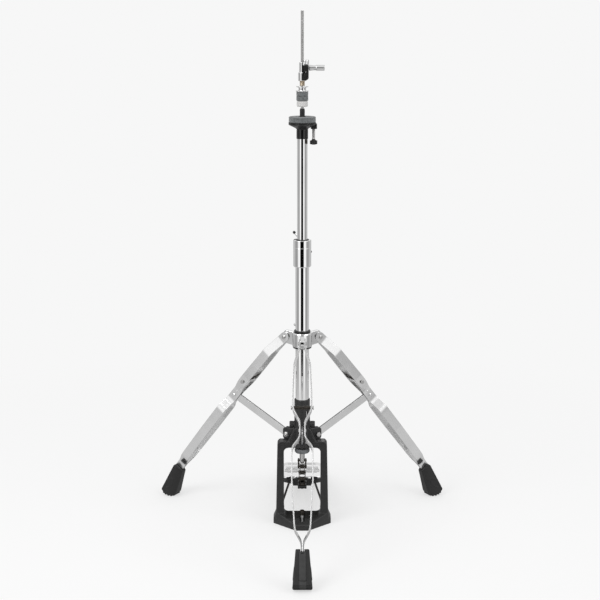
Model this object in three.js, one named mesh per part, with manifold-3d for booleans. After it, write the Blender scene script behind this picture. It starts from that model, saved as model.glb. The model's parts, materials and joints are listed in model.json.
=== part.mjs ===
// Hi-hat stand: pedal frame, tripod with double-strip legs, telescopic column, cymbal seat, pull rod,
// drive chain, footboard and clutch. Millimetres, +Z up. The column's axis is the Z axis, the floor is
// Z = 0, the front leg points to -Y and the footboard to +Y.
import * as THREE from 'three';
import { ConvexGeometry } from 'three/addons/geometries/ConvexGeometry.js';
import { mergeVertices } from 'three/addons/utils/BufferGeometryUtils.js';
import Module from 'manifold-3d';

const wasm = await Module();
wasm.setup();

// ---- driving dimensions (mm) ------------------------------------------------------------------------
const GAP = 0.3;                    // clearance between pieces that touch
const ROUND = 20;                   // sides of a turned piece
const SMALL_ROUND = 8;              // sides of a pin, screw or hole

const LOWER_TUBE = { radius: 12.7, wall: 1.5, bottom: 190.4, top: 540 };
const UPPER_TUBE = { radius: 9.5, wall: 1.3, bottom: 465, top: 764 };
const SLEEVE = { radius: 16.65, bottom: 510.3, top: 561.3 };
const T_BOLT = { shank: 4, head: 5.2, headStart: 40, reach: 49, bar: 2, half: 24, ball: 3, barY: 45 };
const CLAMP_RADIUS = 8;
const HEIGHT_BOLT = { z: 549, boss: 25, tilt: -39.5 };
const COLLAR_BOLT = { z: 368, boss: 27, tilt: -35 };

const ROD = { radius: 2.75, top: 980 };
const LOWER_ROD = { radius: 5, bottom: 121.8, top: 330 };
const SPRING = { mean: 7.6, wire: 1.1, bottom: 191.5, top: 297.5, turns: 8 };

const NECK = { radius: 15, bottom: 157, top: 252.4, bore: 13.0, floor: 190, lip: 152.8, lipRadius: 14.5 };
const CROSS_BOSS = { radius: 6.5, half: 24.5, z: 201 };
const SIGHT = { half: 2, bottom: 219, top: 231, turn: 42 };
const FRAME = { depth: 12, topHalf: 47.8, bottomHalf: 51, shoulder: 169, foot: 12 };
const WINDOW = { half: 35.5, bottom: 18.3, top: 156.8, corner: 9 };
const BASE = { half: 56, nose: 12, front: -44, side: -4, back: 20, height: 11, sideHeight: 14 };
const ANCHOR = { y: -8, radius: 3.3, nut: 5.6, cap: 4.6, tip: 0.6, top: 28.5, recess: 4.7 };
const BUMPER = { outer: 14.5, bottom: 144.6, top: 152.5 };
const ROD_LUG = { x: 38.6, half: 4, front: 8, back: 24, bottom: 25, top: 41, z: 33 };
const RADIUS_ROD = { radius: 2.25, hole: 2.8, front: 14, back: 258, straight: 12, heelX: 21, heelZ: 11 };

const COLLAR = { radius: 18.5, bottom: 353.4, top: 381.8, earHalf: 3.6, ringRadius: 15.6, ringTop: 387.6 };
const HINGE = { r: 37, z: 370 };
const BEND = { r: 66, z: 342 };
const WAIST = { r: 152, z: 238 };
const LEG_END = { r: 290.5, z: 62.4 };
const STRIP = { width: 18, thickness: 2.4, bendReach: 7 };
const SPACER_AT = 131;              // distance from the hinge down the leg
const HINGE_PIN = { shank: 2.5, head: 4.2, inside: 6.7, headHeight: 1.4 };
const SPACER = { shank: 2.5, head: 3.4, inside: 19, headHeight: 2 };
const RIVET = { inner: 4.4, outer: 7.3, radius: 3.6, smallRadius: 2.2, apart: 12 };
const PIN_HOLE = 2.8;
const SOCKET = { half: 4.4, depth: 32, over: 4 };
const LUG = { r: 32, z: 177, gap: 2.1, thickness: 3.8, hole: 3.3, pin: 3, head: 5, headEnd: 9.5 };
const BRACE = { width: 15, thickness: 3.4 };
const LEGS = { front: -90, right: 30, left: 150 };

const BOARD = { toeY: 20, toeZ: 87.5, slope: 14.13, length: 236, thickness: 4, half: 45 };
const TOE = { nose: 14, shoulder: 16, blockHalf: 18, low: -18, bandLow: -15, endLow: -10.5, back: 34 };
const HEEL = { y: 257, z: 20, front: 264.5, back: 296, half: 41, height: 19.5, corner: 12, ear: 6.4 };
const HEEL_EAR = { low: 13.6, width: 20.4 };
const HEEL_PIN = { radius: 3, half: 20, bore: 3.4, knuckle: 6, knuckleHalf: 13 };
const CHAIN = { pitch: 12.7, top: 115.5, pin: 2, pinHalf: 7.3, bore: 2.4, roller: 4, rollerHalf: 3.6 };
const LINK = { radius: 4.9, inner: 3.4, outer: 5.2, thickness: 1.4 };
const CLEVIS = { radius: 5, inner: 5.4, thickness: 3, top: 128.5, pinZ: 127.5, pinHalf: 9 };
const CHAIN_ANCHOR = { radius: 7.4, inner: 5.4, thickness: 3.2, back: 13.6, web: 4.1, half: 5, pinHalf: 8 };

const SEAT = { neckBottom: 749.5, baseBottom: 767.3, plateBottom: 777.4, feltBottom: 779.6 };
const SEAT_TOP = 789.8;
const SEAT_RADIUS = 24.7;
const SLEEVE_TOP = 804.6;
const TILTER = { x: 20.8, radius: 2.8, knobTop: 747.7, knobBottom: 738.8, knob: 4.6, lobe: 3.1, lobeX: 3.9 };
const CLUTCH = { bottom: 808, feltBottom: 818.9, feltMiddle: 827.1, nutBottom: 835.4, nutTop: 845 };
const CLUTCH_BODY = { bottom: 854.5, step: 869, boltZ: 878, blockBottom: 883.4, top: 892.8 };
const ROD_BORE = ROD.radius + 0.35;

// ---- materials --------------------------------------------------------------------------------------
function finish(color, roughness, metalness) {
  return new THREE.MeshStandardMaterial({ color, roughness, metalness });
}
const chrome = finish(0xd9dcde, 0.12, 1);
const casting = finish(0x26272a, 0.6, 0.3);
const rubber = finish(0x1c1c1d, 0.85, 0);
const blackPlastic = finish(0x161617, 0.45, 0);
const feltGrey = finish(0x6f7375, 0.95, 0);
const greyRubber = finish(0x7d8086, 0.7, 0);
const steel = finish(0xb4b6b8, 0.35, 1);
const blackSteel = finish(0x202022, 0.45, 0.8);
const nylon = finish(0xe6e6e2, 0.55, 0);

// ---- solids -----------------------------------------------------------------------------------------
function solid(geometry) {
  const bare = geometry.index ? geometry.toNonIndexed() : geometry.clone();
  bare.deleteAttribute('normal');
  bare.deleteAttribute('uv');
  const merged = mergeVertices(bare, 1e-4);
  return new wasm.Manifold(new wasm.Mesh({
    numProp: 3,
    vertProperties: new Float32Array(merged.attributes.position.array),
    triVerts: new Uint32Array(merged.index.array),
  }));
}

function geometryOf(manifold) {
  const mesh = manifold.getMesh();
  const geometry = new THREE.BufferGeometry();
  geometry.setAttribute('position', new THREE.BufferAttribute(new Float32Array(mesh.vertProperties), 3));
  geometry.setIndex(new THREE.BufferAttribute(new Uint32Array(mesh.triVerts), 1));
  geometry.computeVertexNormals();
  return geometry;
}

function joined(...solids) {
  return solids.reduce((all, one) => all.add(one));
}

function box(low, high) {
  const size = high.map((value, axis) => value - low[axis]);
  const middle = high.map((value, axis) => (value + low[axis]) / 2);
  return solid(new THREE.BoxGeometry(...size).translate(...middle));
}

function hull(points) {
  return solid(new ConvexGeometry(points.map((point) => new THREE.Vector3(...point))));
}

// A turned piece about Z from (radius, height) pairs that close on themselves or start and end on the axis.
function turned(profile, sides = ROUND) {
  const points = profile.map(([radius, height]) => new THREE.Vector2(radius, height));
  const onAxis = profile[0][0] === 0 && profile[profile.length - 1][0] === 0;
  if (THREE.ShapeUtils.area(points) < 0) {
    points.reverse();
  }
  if (!onAxis) {
    points.push(points[0].clone());
  }
  return solid(new THREE.LatheGeometry(points, sides).rotateX(Math.PI / 2));
}

function ring(inner, outer, bottom, top, sides = ROUND) {
  return turned([[inner, bottom], [outer, bottom], [outer, top], [inner, top]], sides);
}

// A solid bar with small chamfers at both ends.
function bar(radius, bottom, top, sides = ROUND, chamfer = 0.5) {
  return turned([
    [0, bottom], [radius - chamfer, bottom], [radius, bottom + chamfer],
    [radius, top - chamfer], [radius - chamfer, top], [0, top],
  ], sides);
}

function plain(radius, bottom, top, sides = ROUND) {
  return turned([[0, bottom], [radius, bottom], [radius, top], [0, top]], sides);
}

// Turns a piece made about Z so that it lies along +X or +Y, then moves it.
function along(axis, piece, place = [0, 0, 0]) {
  const turn = axis === 'x' ? [0, 90, 0] : [-90, 0, 0];
  return piece.rotate(turn).translate(place);
}

// Extrudes an outline drawn in the X-Z plane through Y.
function slabXZ(shape, front, back) {
  const geometry = new THREE.ExtrudeGeometry(shape, { depth: back - front, bevelEnabled: false, curveSegments: 3 });
  return solid(geometry.rotateX(Math.PI / 2).translate(0, back, 0));
}

function outline(points) {
  return new THREE.Shape(points.map(([x, y]) => new THREE.Vector2(x, y)));
}

function roundedBox(left, bottom, right, top, radius) {
  const shape = new THREE.Shape();
  shape.moveTo(left + radius, bottom);
  shape.lineTo(right - radius, bottom);
  shape.absarc(right - radius, bottom + radius, radius, -Math.PI / 2, 0, false);
  shape.lineTo(right, top - radius);
  shape.absarc(right - radius, top - radius, radius, 0, Math.PI / 2, false);
  shape.lineTo(left + radius, top);
  shape.absarc(left + radius, top - radius, radius, Math.PI / 2, Math.PI, false);
  shape.lineTo(left, bottom + radius);
  shape.absarc(left + radius, bottom + radius, radius, Math.PI, 1.5 * Math.PI, false);
  return shape;
}

// ---- scene graph ------------------------------------------------------------------------------------
const stand = new THREE.Group();
stand.name = 'hi_hat_stand';

function piece(name, manifold, material, parent = stand) {
  const mesh = new THREE.Mesh(geometryOf(manifold), material);
  mesh.name = name;
  parent.add(mesh);
  return mesh;
}

// ---- pedal frame ------------------------------------------------------------------------------------
function legTurned(manifold, degrees) {
  return manifold.rotate([0, 0, degrees]);
}

// Two ears that hold the inner end of a brace, drawn with the leg's direction along +X.
function braceLug() {
  const ears = [-1, 1].map((side) => {
    const near = side * LUG.gap;
    const far = side * (LUG.gap + LUG.thickness);
    const shape = roundedBox(8, LUG.z - 10.5, LUG.r + 8.5, LUG.z + 13.5, 5);
    return slabXZ(shape, Math.min(near, far), Math.max(near, far));
  });
  const hole = along('y', plain(LUG.hole, -12, 12, SMALL_ROUND), [LUG.r, 0, LUG.z]);
  return joined(...ears).subtract(hole);
}

function pedalFrame() {
  const sides = outline([
    [-FRAME.bottomHalf, FRAME.foot], [FRAME.bottomHalf, FRAME.foot],
    [FRAME.topHalf, FRAME.shoulder - 4], [FRAME.topHalf - 4, FRAME.shoulder],
    [-FRAME.topHalf + 4, FRAME.shoulder], [-FRAME.topHalf, FRAME.shoulder - 4],
  ]);
  sides.holes.push(roundedBox(-WINDOW.half, WINDOW.bottom, WINDOW.half, WINDOW.top, WINDOW.corner));
  let frame = slabXZ(sides, -FRAME.depth, FRAME.depth);

  const plan = (half, nose, front, side, back, z) => [
    [-half, side, z], [-nose, front, z], [nose, front, z], [half, side, z], [half, back, z], [-half, back, z],
  ];
  const base = hull([
    ...plan(BASE.half, BASE.nose, BASE.front, BASE.side, BASE.back, 0),
    ...plan(BASE.half, BASE.nose, BASE.front, BASE.side, BASE.back, BASE.height),
    ...plan(BASE.half - 1, 8, -FRAME.depth - 12, BASE.side, BASE.back - 2, BASE.sideHeight),
    ...plan(FRAME.bottomHalf, 30, -FRAME.depth, -FRAME.depth + 2, FRAME.depth, WINDOW.bottom),
  ]);
  frame = frame.add(base);

  frame = frame.add(plain(NECK.radius, NECK.bottom - 1, NECK.top));
  const crossBoss = bar(CROSS_BOSS.radius, -CROSS_BOSS.half, CROSS_BOSS.half, 24, 1);
  frame = frame.add(along('x', crossBoss, [0, 0, CROSS_BOSS.z]));
  const blend = slabXZ(outline([[-24, 168], [24, 168], [15, 196], [-15, 196]]), -11, 11);
  frame = frame.add(blend);
  for (const degrees of Object.values(LEGS)) {
    frame = frame.add(legTurned(braceLug(), degrees));
  }
  frame = frame.add(plain(NECK.lipRadius, NECK.lip, NECK.bottom + 4));
  frame = frame.subtract(plain(NECK.bore, NECK.floor, NECK.top + 5));
  frame = frame.subtract(plain(LOWER_ROD.radius + 0.5, 140, NECK.floor + 5));
  // Each brace turns between its ears, so the space between them is kept free.
  const slot = box([22.5, -LUG.gap, 167], [45, LUG.gap, 200]);
  for (const degrees of Object.values(LEGS)) {
    frame = frame.subtract(legTurned(slot, degrees));
  }
  const sight = box([-SIGHT.half, -20, SIGHT.bottom], [SIGHT.half, -5, SIGHT.top]);
  frame = frame.subtract(legTurned(sight, SIGHT.turn));
  frame = frame.subtract(box([-ANCHOR.recess, -33, -5], [ANCHOR.recess, ANCHOR.y + 4, 40]));
  for (const side of [-1, 1]) {
    const x = side * ROD_LUG.x;
    const lug = box(
      [x - ROD_LUG.half, ROD_LUG.front, ROD_LUG.bottom],
      [x + ROD_LUG.half, ROD_LUG.back, ROD_LUG.top],
    );
    const hole = along('y', plain(RADIUS_ROD.hole, 13, 30, SMALL_ROUND), [x, 0, ROD_LUG.z]);
    frame = frame.add(lug).subtract(hole);
  }
  return frame;
}

piece('pedal_frame', pedalFrame(), casting);
piece('rod_bumper', ring(LOWER_ROD.radius + 0.6, BUMPER.outer, BUMPER.bottom, BUMPER.top), greyRubber);

function anchorScrew() {
  const shank = turned([
    [0, ANCHOR.tip], [1.2, ANCHOR.tip], [ANCHOR.radius, 6], [ANCHOR.radius, 20], [0, 20],
  ], SMALL_ROUND);
  const nut = bar(ANCHOR.nut, 19, ANCHOR.top - 2, 6, 0.6);
  const cap = bar(ANCHOR.cap, ANCHOR.top - 3, ANCHOR.top, SMALL_ROUND, 0.8);
  return joined(shank, nut, cap).translate([0, ANCHOR.y, 0]);
}
piece('anchor_screw', anchorScrew(), steel);

// ---- column -----------------------------------------------------------------------------------------
piece('lower_tube',
  ring(LOWER_TUBE.radius - LOWER_TUBE.wall, LOWER_TUBE.radius, LOWER_TUBE.bottom, LOWER_TUBE.top), chrome);

// A clamp boss on the drummer's side, bored for its T-bolt.
function clampBoss(reach, z) {
  return along('y', bar(CLAMP_RADIUS, 10, reach, 24, 0.8), [0, 0, z]);
}
function clampBore(z) {
  return along('y', plain(T_BOLT.shank + GAP, 5, 40, SMALL_ROUND), [0, 0, z]);
}

function heightSleeve() {
  const shell = turned([
    [SLEEVE.radius - 1.4, SLEEVE.bottom], [SLEEVE.radius, SLEEVE.bottom + 1.6],
    [SLEEVE.radius, SLEEVE.top - 15], [SLEEVE.radius - 0.5, SLEEVE.top - 14.5],
    [SLEEVE.radius, SLEEVE.top - 14], [SLEEVE.radius, SLEEVE.top - 0.8],
    [SLEEVE.radius - 0.8, SLEEVE.top], [0, SLEEVE.top], [0, SLEEVE.bottom],
  ]);
  const bore = plain(LOWER_TUBE.radius + GAP, SLEEVE.bottom - 5, SLEEVE.top + 5);
  const boss = clampBoss(HEIGHT_BOLT.boss, HEIGHT_BOLT.z);
  return shell.add(boss).subtract(bore).subtract(clampBore(HEIGHT_BOLT.z));
}
piece('height_sleeve', heightSleeve(), chrome);
piece('tube_bush', ring(UPPER_TUBE.radius + GAP, LOWER_TUBE.radius, LOWER_TUBE.top + GAP, SLEEVE.top + 0.5),
  blackPlastic);

function tBolt({ z, tilt }) {
  const shank = along('y', bar(T_BOLT.shank, LOWER_TUBE.radius + 0.8, 43, SMALL_ROUND), [0, 0, z]);
  const head = along('y', bar(T_BOLT.head, T_BOLT.headStart, T_BOLT.reach, 24, 0.8), [0, 0, z]);
  const ball = (height) => solid(new THREE.SphereGeometry(T_BOLT.ball, 8, 6)).translate([0, 0, height]);
  const handle = joined(plain(T_BOLT.bar, -T_BOLT.half, T_BOLT.half, 8), ball(T_BOLT.half), ball(-T_BOLT.half));
  return joined(shank, head, handle.rotate([0, tilt, 0]).translate([0, T_BOLT.barY, z]));
}
piece('height_t_bolt', tBolt(HEIGHT_BOLT), chrome);
piece('upper_tube',
  ring(UPPER_TUBE.radius - UPPER_TUBE.wall, UPPER_TUBE.radius, UPPER_TUBE.bottom, UPPER_TUBE.top), chrome);

// ---- leg collar -------------------------------------------------------------------------------------
function collarEar() {
  const shape = outline([
    [15, COLLAR.bottom + 3], [34, COLLAR.bottom + 6], [42, HINGE.z - 5], [43.5, HINGE.z],
    [42, HINGE.z + 5], [36, COLLAR.top + 1], [15, COLLAR.top - 1],
  ]);
  const hole = along('y', plain(PIN_HOLE, -10, 10, SMALL_ROUND), [HINGE.r, 0, HINGE.z]);
  return slabXZ(shape, -COLLAR.earHalf, COLLAR.earHalf).subtract(hole);
}

function legCollar() {
  let collar = bar(COLLAR.radius, COLLAR.bottom, COLLAR.top, ROUND, 0.8);
  for (const degrees of Object.values(LEGS)) {
    collar = collar.add(legTurned(collarEar(), degrees));
  }
  collar = collar.add(clampBoss(COLLAR_BOLT.boss, COLLAR_BOLT.z));
  collar = collar.subtract(plain(LOWER_TUBE.radius + GAP, COLLAR.bottom - 5, COLLAR.top + 5));
  return collar.subtract(clampBore(COLLAR_BOLT.z));
}
piece('leg_collar', legCollar(), chrome);
piece('collar_ring', ring(LOWER_TUBE.radius + GAP, COLLAR.ringRadius, COLLAR.top + GAP, COLLAR.ringTop),
  blackPlastic);
piece('collar_t_bolt', tBolt(COLLAR_BOLT), chrome);

// ---- legs -------------------------------------------------------------------------------------------
// A leg is drawn in its own vertical plane: X is the distance from the column, Z the height.
const LEG_LINE = [HINGE, BEND, WAIST, LEG_END].map((spot) => new THREE.Vector2(spot.r, spot.z));
const LEG_STARTS = [0];
for (let i = 1; i < LEG_LINE.length; i++) {
  LEG_STARTS.push(LEG_STARTS[i - 1] + LEG_LINE[i].distanceTo(LEG_LINE[i - 1]));
}

// The point that lies `distance` down the leg's centre line from the hinge and `across` above that line.
function legPoint(distance, across) {
  let part = LEG_LINE.length - 2;
  while (part > 0 && distance < LEG_STARTS[part]) {
    part -= 1;
  }
  const direction = LEG_LINE[part + 1].clone().sub(LEG_LINE[part]).normalize();
  const spot = LEG_LINE[part].clone().addScaledVector(direction, distance - LEG_STARTS[part]);
  return new THREE.Vector2(spot.x - direction.y * across, spot.y + direction.x * across);
}

// How far a strip's outer face stands from the leg's plane, at distances from the hinge.
const STRIP_BOW = [
  [-11, 6.4], [10, 6.4], [47, 16.2], [87, 17.8], [118, 18.6], [136, 17.6], [160, 5.7], [190, 5.7],
  [209, 20], [270, 20], [362, 13.8], [384, 3.1], [396, 2.9],
];

// The same bow with each corner cut by a short curve.
function bowPath() {
  const knots = STRIP_BOW.map(([distance, out]) => new THREE.Vector2(distance, out - STRIP.thickness / 2));
  const points = [knots[0]];
  for (let i = 1; i < knots.length - 1; i++) {
    const room = Math.min(knots[i].distanceTo(knots[i - 1]), knots[i].distanceTo(knots[i + 1]));
    const reach = Math.min(STRIP.bendReach, room / 2.2);
    const before = knots[i].clone().add(knots[i - 1].clone().sub(knots[i]).setLength(reach));
    const after = knots[i].clone().add(knots[i + 1].clone().sub(knots[i]).setLength(reach));
    points.push(...new THREE.QuadraticBezierCurve(before, knots[i], after).getPoints(2));
  }
  points.push(knots[knots.length - 1]);
  return points;
}

function strip(side) {
  const path = bowPath();
  const edge = (offset) => path.map((point, i) => {
    const before = path[Math.max(i - 1, 0)];
    const after = path[Math.min(i + 1, path.length - 1)];
    const direction = after.clone().sub(before).normalize();
    return new THREE.Vector2(point.x - direction.y * offset, (point.y + direction.x * offset) * side);
  });
  const shape = new THREE.Shape([...edge(-STRIP.thickness / 2), ...edge(STRIP.thickness / 2).reverse()]);
  const geometry = new THREE.ExtrudeGeometry(shape, { depth: STRIP.width, bevelEnabled: false });
  const position = geometry.attributes.position;
  for (let i = 0; i < position.count; i++) {
    const across = position.getZ(i) - STRIP.width / 2;
    const spot = legPoint(position.getX(i), across);
    position.setXYZ(i, spot.x, position.getY(i), spot.y);
  }
  let bent = solid(geometry);
  const hole = (distance, radius) => {
    const spot = legPoint(distance, 0);
    return along('y', plain(radius, -40, 40, SMALL_ROUND), [spot.x, 0, spot.y]);
  };
  bent = bent.subtract(hole(0, PIN_HOLE)).subtract(hole(SPACER_AT, PIN_HOLE));
  const waist = LEG_STARTS[2];
  for (const [distance, radius] of [[waist, RIVET.radius], [waist - RIVET.apart, RIVET.smallRadius]]) {
    const spot = legPoint(distance, 0);
    const low = Math.min(side * RIVET.inner, side * RIVET.outer);
    const high = Math.max(side * RIVET.inner, side * RIVET.outer);
    bent = bent.add(along('y', bar(radius, low, high, SMALL_ROUND, 0.4), [spot.x, 0, spot.y]));
  }
  return bent;
}

// A cross pin with a flat head at each end.
function crossPin(distance, { shank, head, inside, headHeight }) {
  const spot = legPoint(distance, 0);
  const pin = joined(
    plain(shank, -inside - 0.5, inside + 0.5, SMALL_ROUND),
    bar(head, inside, inside + headHeight, SMALL_ROUND, 0.5),
    bar(head, -inside - headHeight, -inside, SMALL_ROUND, 0.5),
  );
  return along('y', pin, [spot.x, 0, spot.y]);
}

// A rubber boot, wider at the floor and on its outer side, with a socket for the two strip ends.
// Its corners are (distance from the column, height, half width).
const FOOT = [
  [296, 71, 12.5], [278.5, 57.2, 9], [326, 14, 18.3], [320, 4, 18.3], [309, 0, 17], [296, 0, 12], [290, 7, 11],
];

function rubberFoot() {
  const corners = FOOT.flatMap(([r, z, half]) => [[r, -half, z], [r, half, z]]);
  const socketCorners = [];
  for (const distance of [LEG_STARTS[3] - SOCKET.depth, LEG_STARTS[3] + SOCKET.over]) {
    for (const across of [-STRIP.width / 2 - GAP, STRIP.width / 2 + GAP]) {
      const spot = legPoint(distance, across);
      socketCorners.push([spot.x, -SOCKET.half, spot.y], [spot.x, SOCKET.half, spot.y]);
    }
  }
  return hull(corners).subtract(hull(socketCorners));
}

function brace() {
  const start = new THREE.Vector2(LUG.r, LUG.z);
  const end = new THREE.Vector2(WAIST.r, WAIST.z);
  const length = end.distanceTo(start);
  const half = BRACE.width / 2;
  const shape = new THREE.Shape();
  shape.absarc(0, 0, half, Math.PI / 2, 1.5 * Math.PI, false);
  shape.absarc(length, 0, half, -Math.PI / 2, Math.PI / 2, false);
  const flat = slabXZ(shape, -BRACE.thickness / 2, BRACE.thickness / 2);
  const hole = along('y', plain(LUG.hole, -10, 10, SMALL_ROUND));
  const lift = -THREE.MathUtils.radToDeg(Math.atan2(end.y - start.y, end.x - start.x));
  return flat.subtract(hole).rotate([0, lift, 0]).translate([start.x, 0, start.y]);
}

function lugBolt() {
  const start = LUG.gap + LUG.thickness + GAP;
  const pin = joined(
    plain(LUG.pin, -7, 7, SMALL_ROUND),
    bar(LUG.head, start, LUG.headEnd, SMALL_ROUND, 0.8),
    bar(LUG.head, -LUG.headEnd, -start, 6, 0.8),
  );
  return along('y', pin, [LUG.r, 0, LUG.z]);
}

function addLeg(name, degrees) {
  const leg = new THREE.Group();
  leg.rotation.z = THREE.MathUtils.degToRad(degrees);
  stand.add(leg);
  piece(`leg_${name}_strip_a`, strip(-1), chrome, leg);
  piece(`leg_${name}_strip_b`, strip(1), chrome, leg);
  piece(`leg_${name}_hinge_pin`, crossPin(0, HINGE_PIN), steel, leg);
  piece(`leg_${name}_spacer_bolt`, crossPin(SPACER_AT, SPACER), steel, leg);
  piece(`leg_${name}_foot`, rubberFoot(), rubber, leg);
  piece(`brace_${name}`, brace(), chrome, leg);
  piece(`brace_${name}_bolt`, lugBolt(), steel, leg);
}
for (const [name, degrees] of Object.entries(LEGS)) {
  addLeg(name, degrees);
}

// ---- pull rod, spring and chain ---------------------------------------------------------------------
function lowerRod() {
  const rod = turned([
    [0, LOWER_ROD.bottom], [2.6, LOWER_ROD.bottom + 0.6], [4.4, LOWER_ROD.bottom + 2.4],
    [LOWER_ROD.radius, LOWER_ROD.bottom + 5], [LOWER_ROD.radius, LOWER_ROD.top], [0, LOWER_ROD.top],
  ], 24);
  const perch = bar(10, SPRING.top + GAP, 303.5, 24, 0.6);
  const coupler = bar(6.5, 320, 343, 6, 0.5);
  const socket = plain(ROD.radius + GAP, 331, 350, SMALL_ROUND);
  const pinHole = along('x', plain(CHAIN.bore, -10, 10, SMALL_ROUND), [0, 0, CLEVIS.pinZ]);
  return joined(rod, perch, coupler).subtract(socket).subtract(pinHole);
}
piece('pull_rod_lower', lowerRod(), steel);
piece('pull_rod_upper', bar(ROD.radius, 331.4, ROD.top, 20, 0.7), steel);

function returnSpring() {
  class Coil extends THREE.Curve {
    getPoint(t) {
      const angle = t * SPRING.turns * 2 * Math.PI;
      const height = SPRING.bottom + SPRING.wire + t * (SPRING.top - SPRING.bottom - 2 * SPRING.wire);
      return new THREE.Vector3(SPRING.mean * Math.cos(angle), SPRING.mean * Math.sin(angle), height);
    }
  }
  const section = new THREE.Shape();
  section.absarc(0, 0, SPRING.wire, 0, 2 * Math.PI, false);
  return solid(new THREE.ExtrudeGeometry(section, {
    steps: SPRING.turns * 10,
    curveSegments: 3,
    bevelEnabled: false,
    extrudePath: new Coil(),
  }));
}
piece('return_spring', returnSpring(), blackSteel);

// One flat link on the given side of the middle, round about both of its pins.
function linkPlate(side, inner, thickness, radius, topZ, bottomZ) {
  const shape = new THREE.Shape();
  shape.absarc(0, topZ, radius, 0, Math.PI, false);
  shape.absarc(0, bottomZ, radius, Math.PI, 2 * Math.PI, false);
  const geometry = new THREE.ExtrudeGeometry(shape, { depth: thickness, bevelEnabled: false, curveSegments: 4 });
  const left = side < 0 ? -inner - thickness : inner;
  return solid(geometry.rotateX(Math.PI / 2).rotateZ(Math.PI / 2).translate(left, 0, 0));
}

function crossX(radius, half, z, sides = SMALL_ROUND) {
  return along('x', plain(radius, -half, half, sides), [0, 0, z]);
}

function innerLink(topZ) {
  const bottomZ = topZ - CHAIN.pitch;
  const link = joined(
    ...[-1, 1].map((side) => linkPlate(side, LINK.inner, LINK.thickness, LINK.radius, topZ, bottomZ)),
    crossX(CHAIN.roller, CHAIN.rollerHalf, topZ, 12),
    crossX(CHAIN.roller, CHAIN.rollerHalf, bottomZ, 12),
  );
  return link.subtract(crossX(CHAIN.bore, 8, topZ)).subtract(crossX(CHAIN.bore, 8, bottomZ));
}

function outerLink(topZ) {
  const bottomZ = topZ - CHAIN.pitch;
  return joined(
    ...[-1, 1].map((side) => linkPlate(side, LINK.outer, LINK.thickness, LINK.radius, topZ, bottomZ)),
    crossX(CHAIN.pin, CHAIN.pinHalf, topZ),
    crossX(CHAIN.pin, CHAIN.pinHalf, bottomZ),
  );
}

function chainClevis() {
  return joined(
    ...[-1, 1].map((side) => linkPlate(
      side, CLEVIS.inner, CLEVIS.thickness, CLEVIS.radius, CLEVIS.top, CHAIN.top,
    )),
    crossX(CHAIN.pin, CLEVIS.pinHalf, CHAIN.top),
    crossX(CHAIN.pin, CLEVIS.pinHalf, CLEVIS.pinZ),
  );
}
piece('chain_clevis', chainClevis(), blackSteel);
piece('chain_link_1', innerLink(CHAIN.top), blackSteel);
piece('chain_link_2', outerLink(CHAIN.top - CHAIN.pitch), blackSteel);
piece('chain_link_3', innerLink(CHAIN.top - 2 * CHAIN.pitch), blackSteel);

// ---- footboard --------------------------------------------------------------------------------------
// The board is drawn flat, from its toe at Y = 0 to its heel, with its tread face at Z = 0.
const board = new THREE.Group();
board.position.set(0, BOARD.toeY, BOARD.toeZ);
board.rotation.x = -THREE.MathUtils.degToRad(BOARD.slope);
stand.add(board);

function slabXY(shape, bottom, top) {
  const geometry = new THREE.ExtrudeGeometry(shape, { depth: top - bottom, bevelEnabled: false, curveSegments: 4 });
  return solid(geometry.translate(0, 0, bottom));
}

function boardOutline(inset) {
  const half = BOARD.half - inset;
  const shape = new THREE.Shape();
  shape.moveTo(-half, TOE.shoulder + inset);
  shape.quadraticCurveTo(0, -TOE.nose + inset * 1.6, half, TOE.shoulder + inset);
  shape.lineTo(half, 120);
  shape.lineTo(half - 9, BOARD.length - 4 - inset);
  shape.lineTo(-half + 9, BOARD.length - 4 - inset);
  shape.lineTo(-half, 120);
  return shape;
}

function boardSlots() {
  const cuts = [];
  for (const [y, spans] of [[78, [[-31, -8], [8, 31]]], [140, [[-35, -25], [-21, -9], [9, 21], [25, 35]]]]) {
    for (const [left, right] of spans) {
      cuts.push(slabXY(roundedBox(left, y, right, y + 8, 3.9), -10, 10));
    }
  }
  return cuts;
}

// The hinge axis, seen from the board's own frame.
function hingeInBoard() {
  const slope = THREE.MathUtils.degToRad(BOARD.slope);
  const dy = HEEL.y - BOARD.toeY;
  const dz = HEEL.z - BOARD.toeZ;
  return [0, dy * Math.cos(slope) - dz * Math.sin(slope), dy * Math.sin(slope) + dz * Math.cos(slope)];
}

function footboard() {
  let plate = slabXY(boardOutline(0), -BOARD.thickness, 0);
  const skirt = slabXY(boardOutline(0), -8, -BOARD.thickness + 0.1).subtract(slabXY(boardOutline(2.2), -9, 0));
  const toeCut = box([-60, -20, -9], [60, 34, -BOARD.thickness]);
  const heelCut = box([-60, 196, -9], [60, 260, -BOARD.thickness]);
  plate = plate.add(skirt.subtract(toeCut).subtract(heelCut));
  const [, y, z] = hingeInBoard();
  const half = HEEL_PIN.knuckleHalf;
  const knuckle = along('x', plain(HEEL_PIN.knuckle, -half, half, 24), [0, y, z]);
  const tongue = box([-half, 214, -BOARD.thickness - 4], [half, y, -1]);
  plate = plate.add(tongue).add(knuckle);
  for (const cut of boardSlots()) {
    plate = plate.subtract(cut);
  }
  return plate.subtract(along('x', plain(HEEL_PIN.bore, -20, 20, SMALL_ROUND), [0, y, z]));
}
piece('footboard', footboard(), chrome, board);

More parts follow.
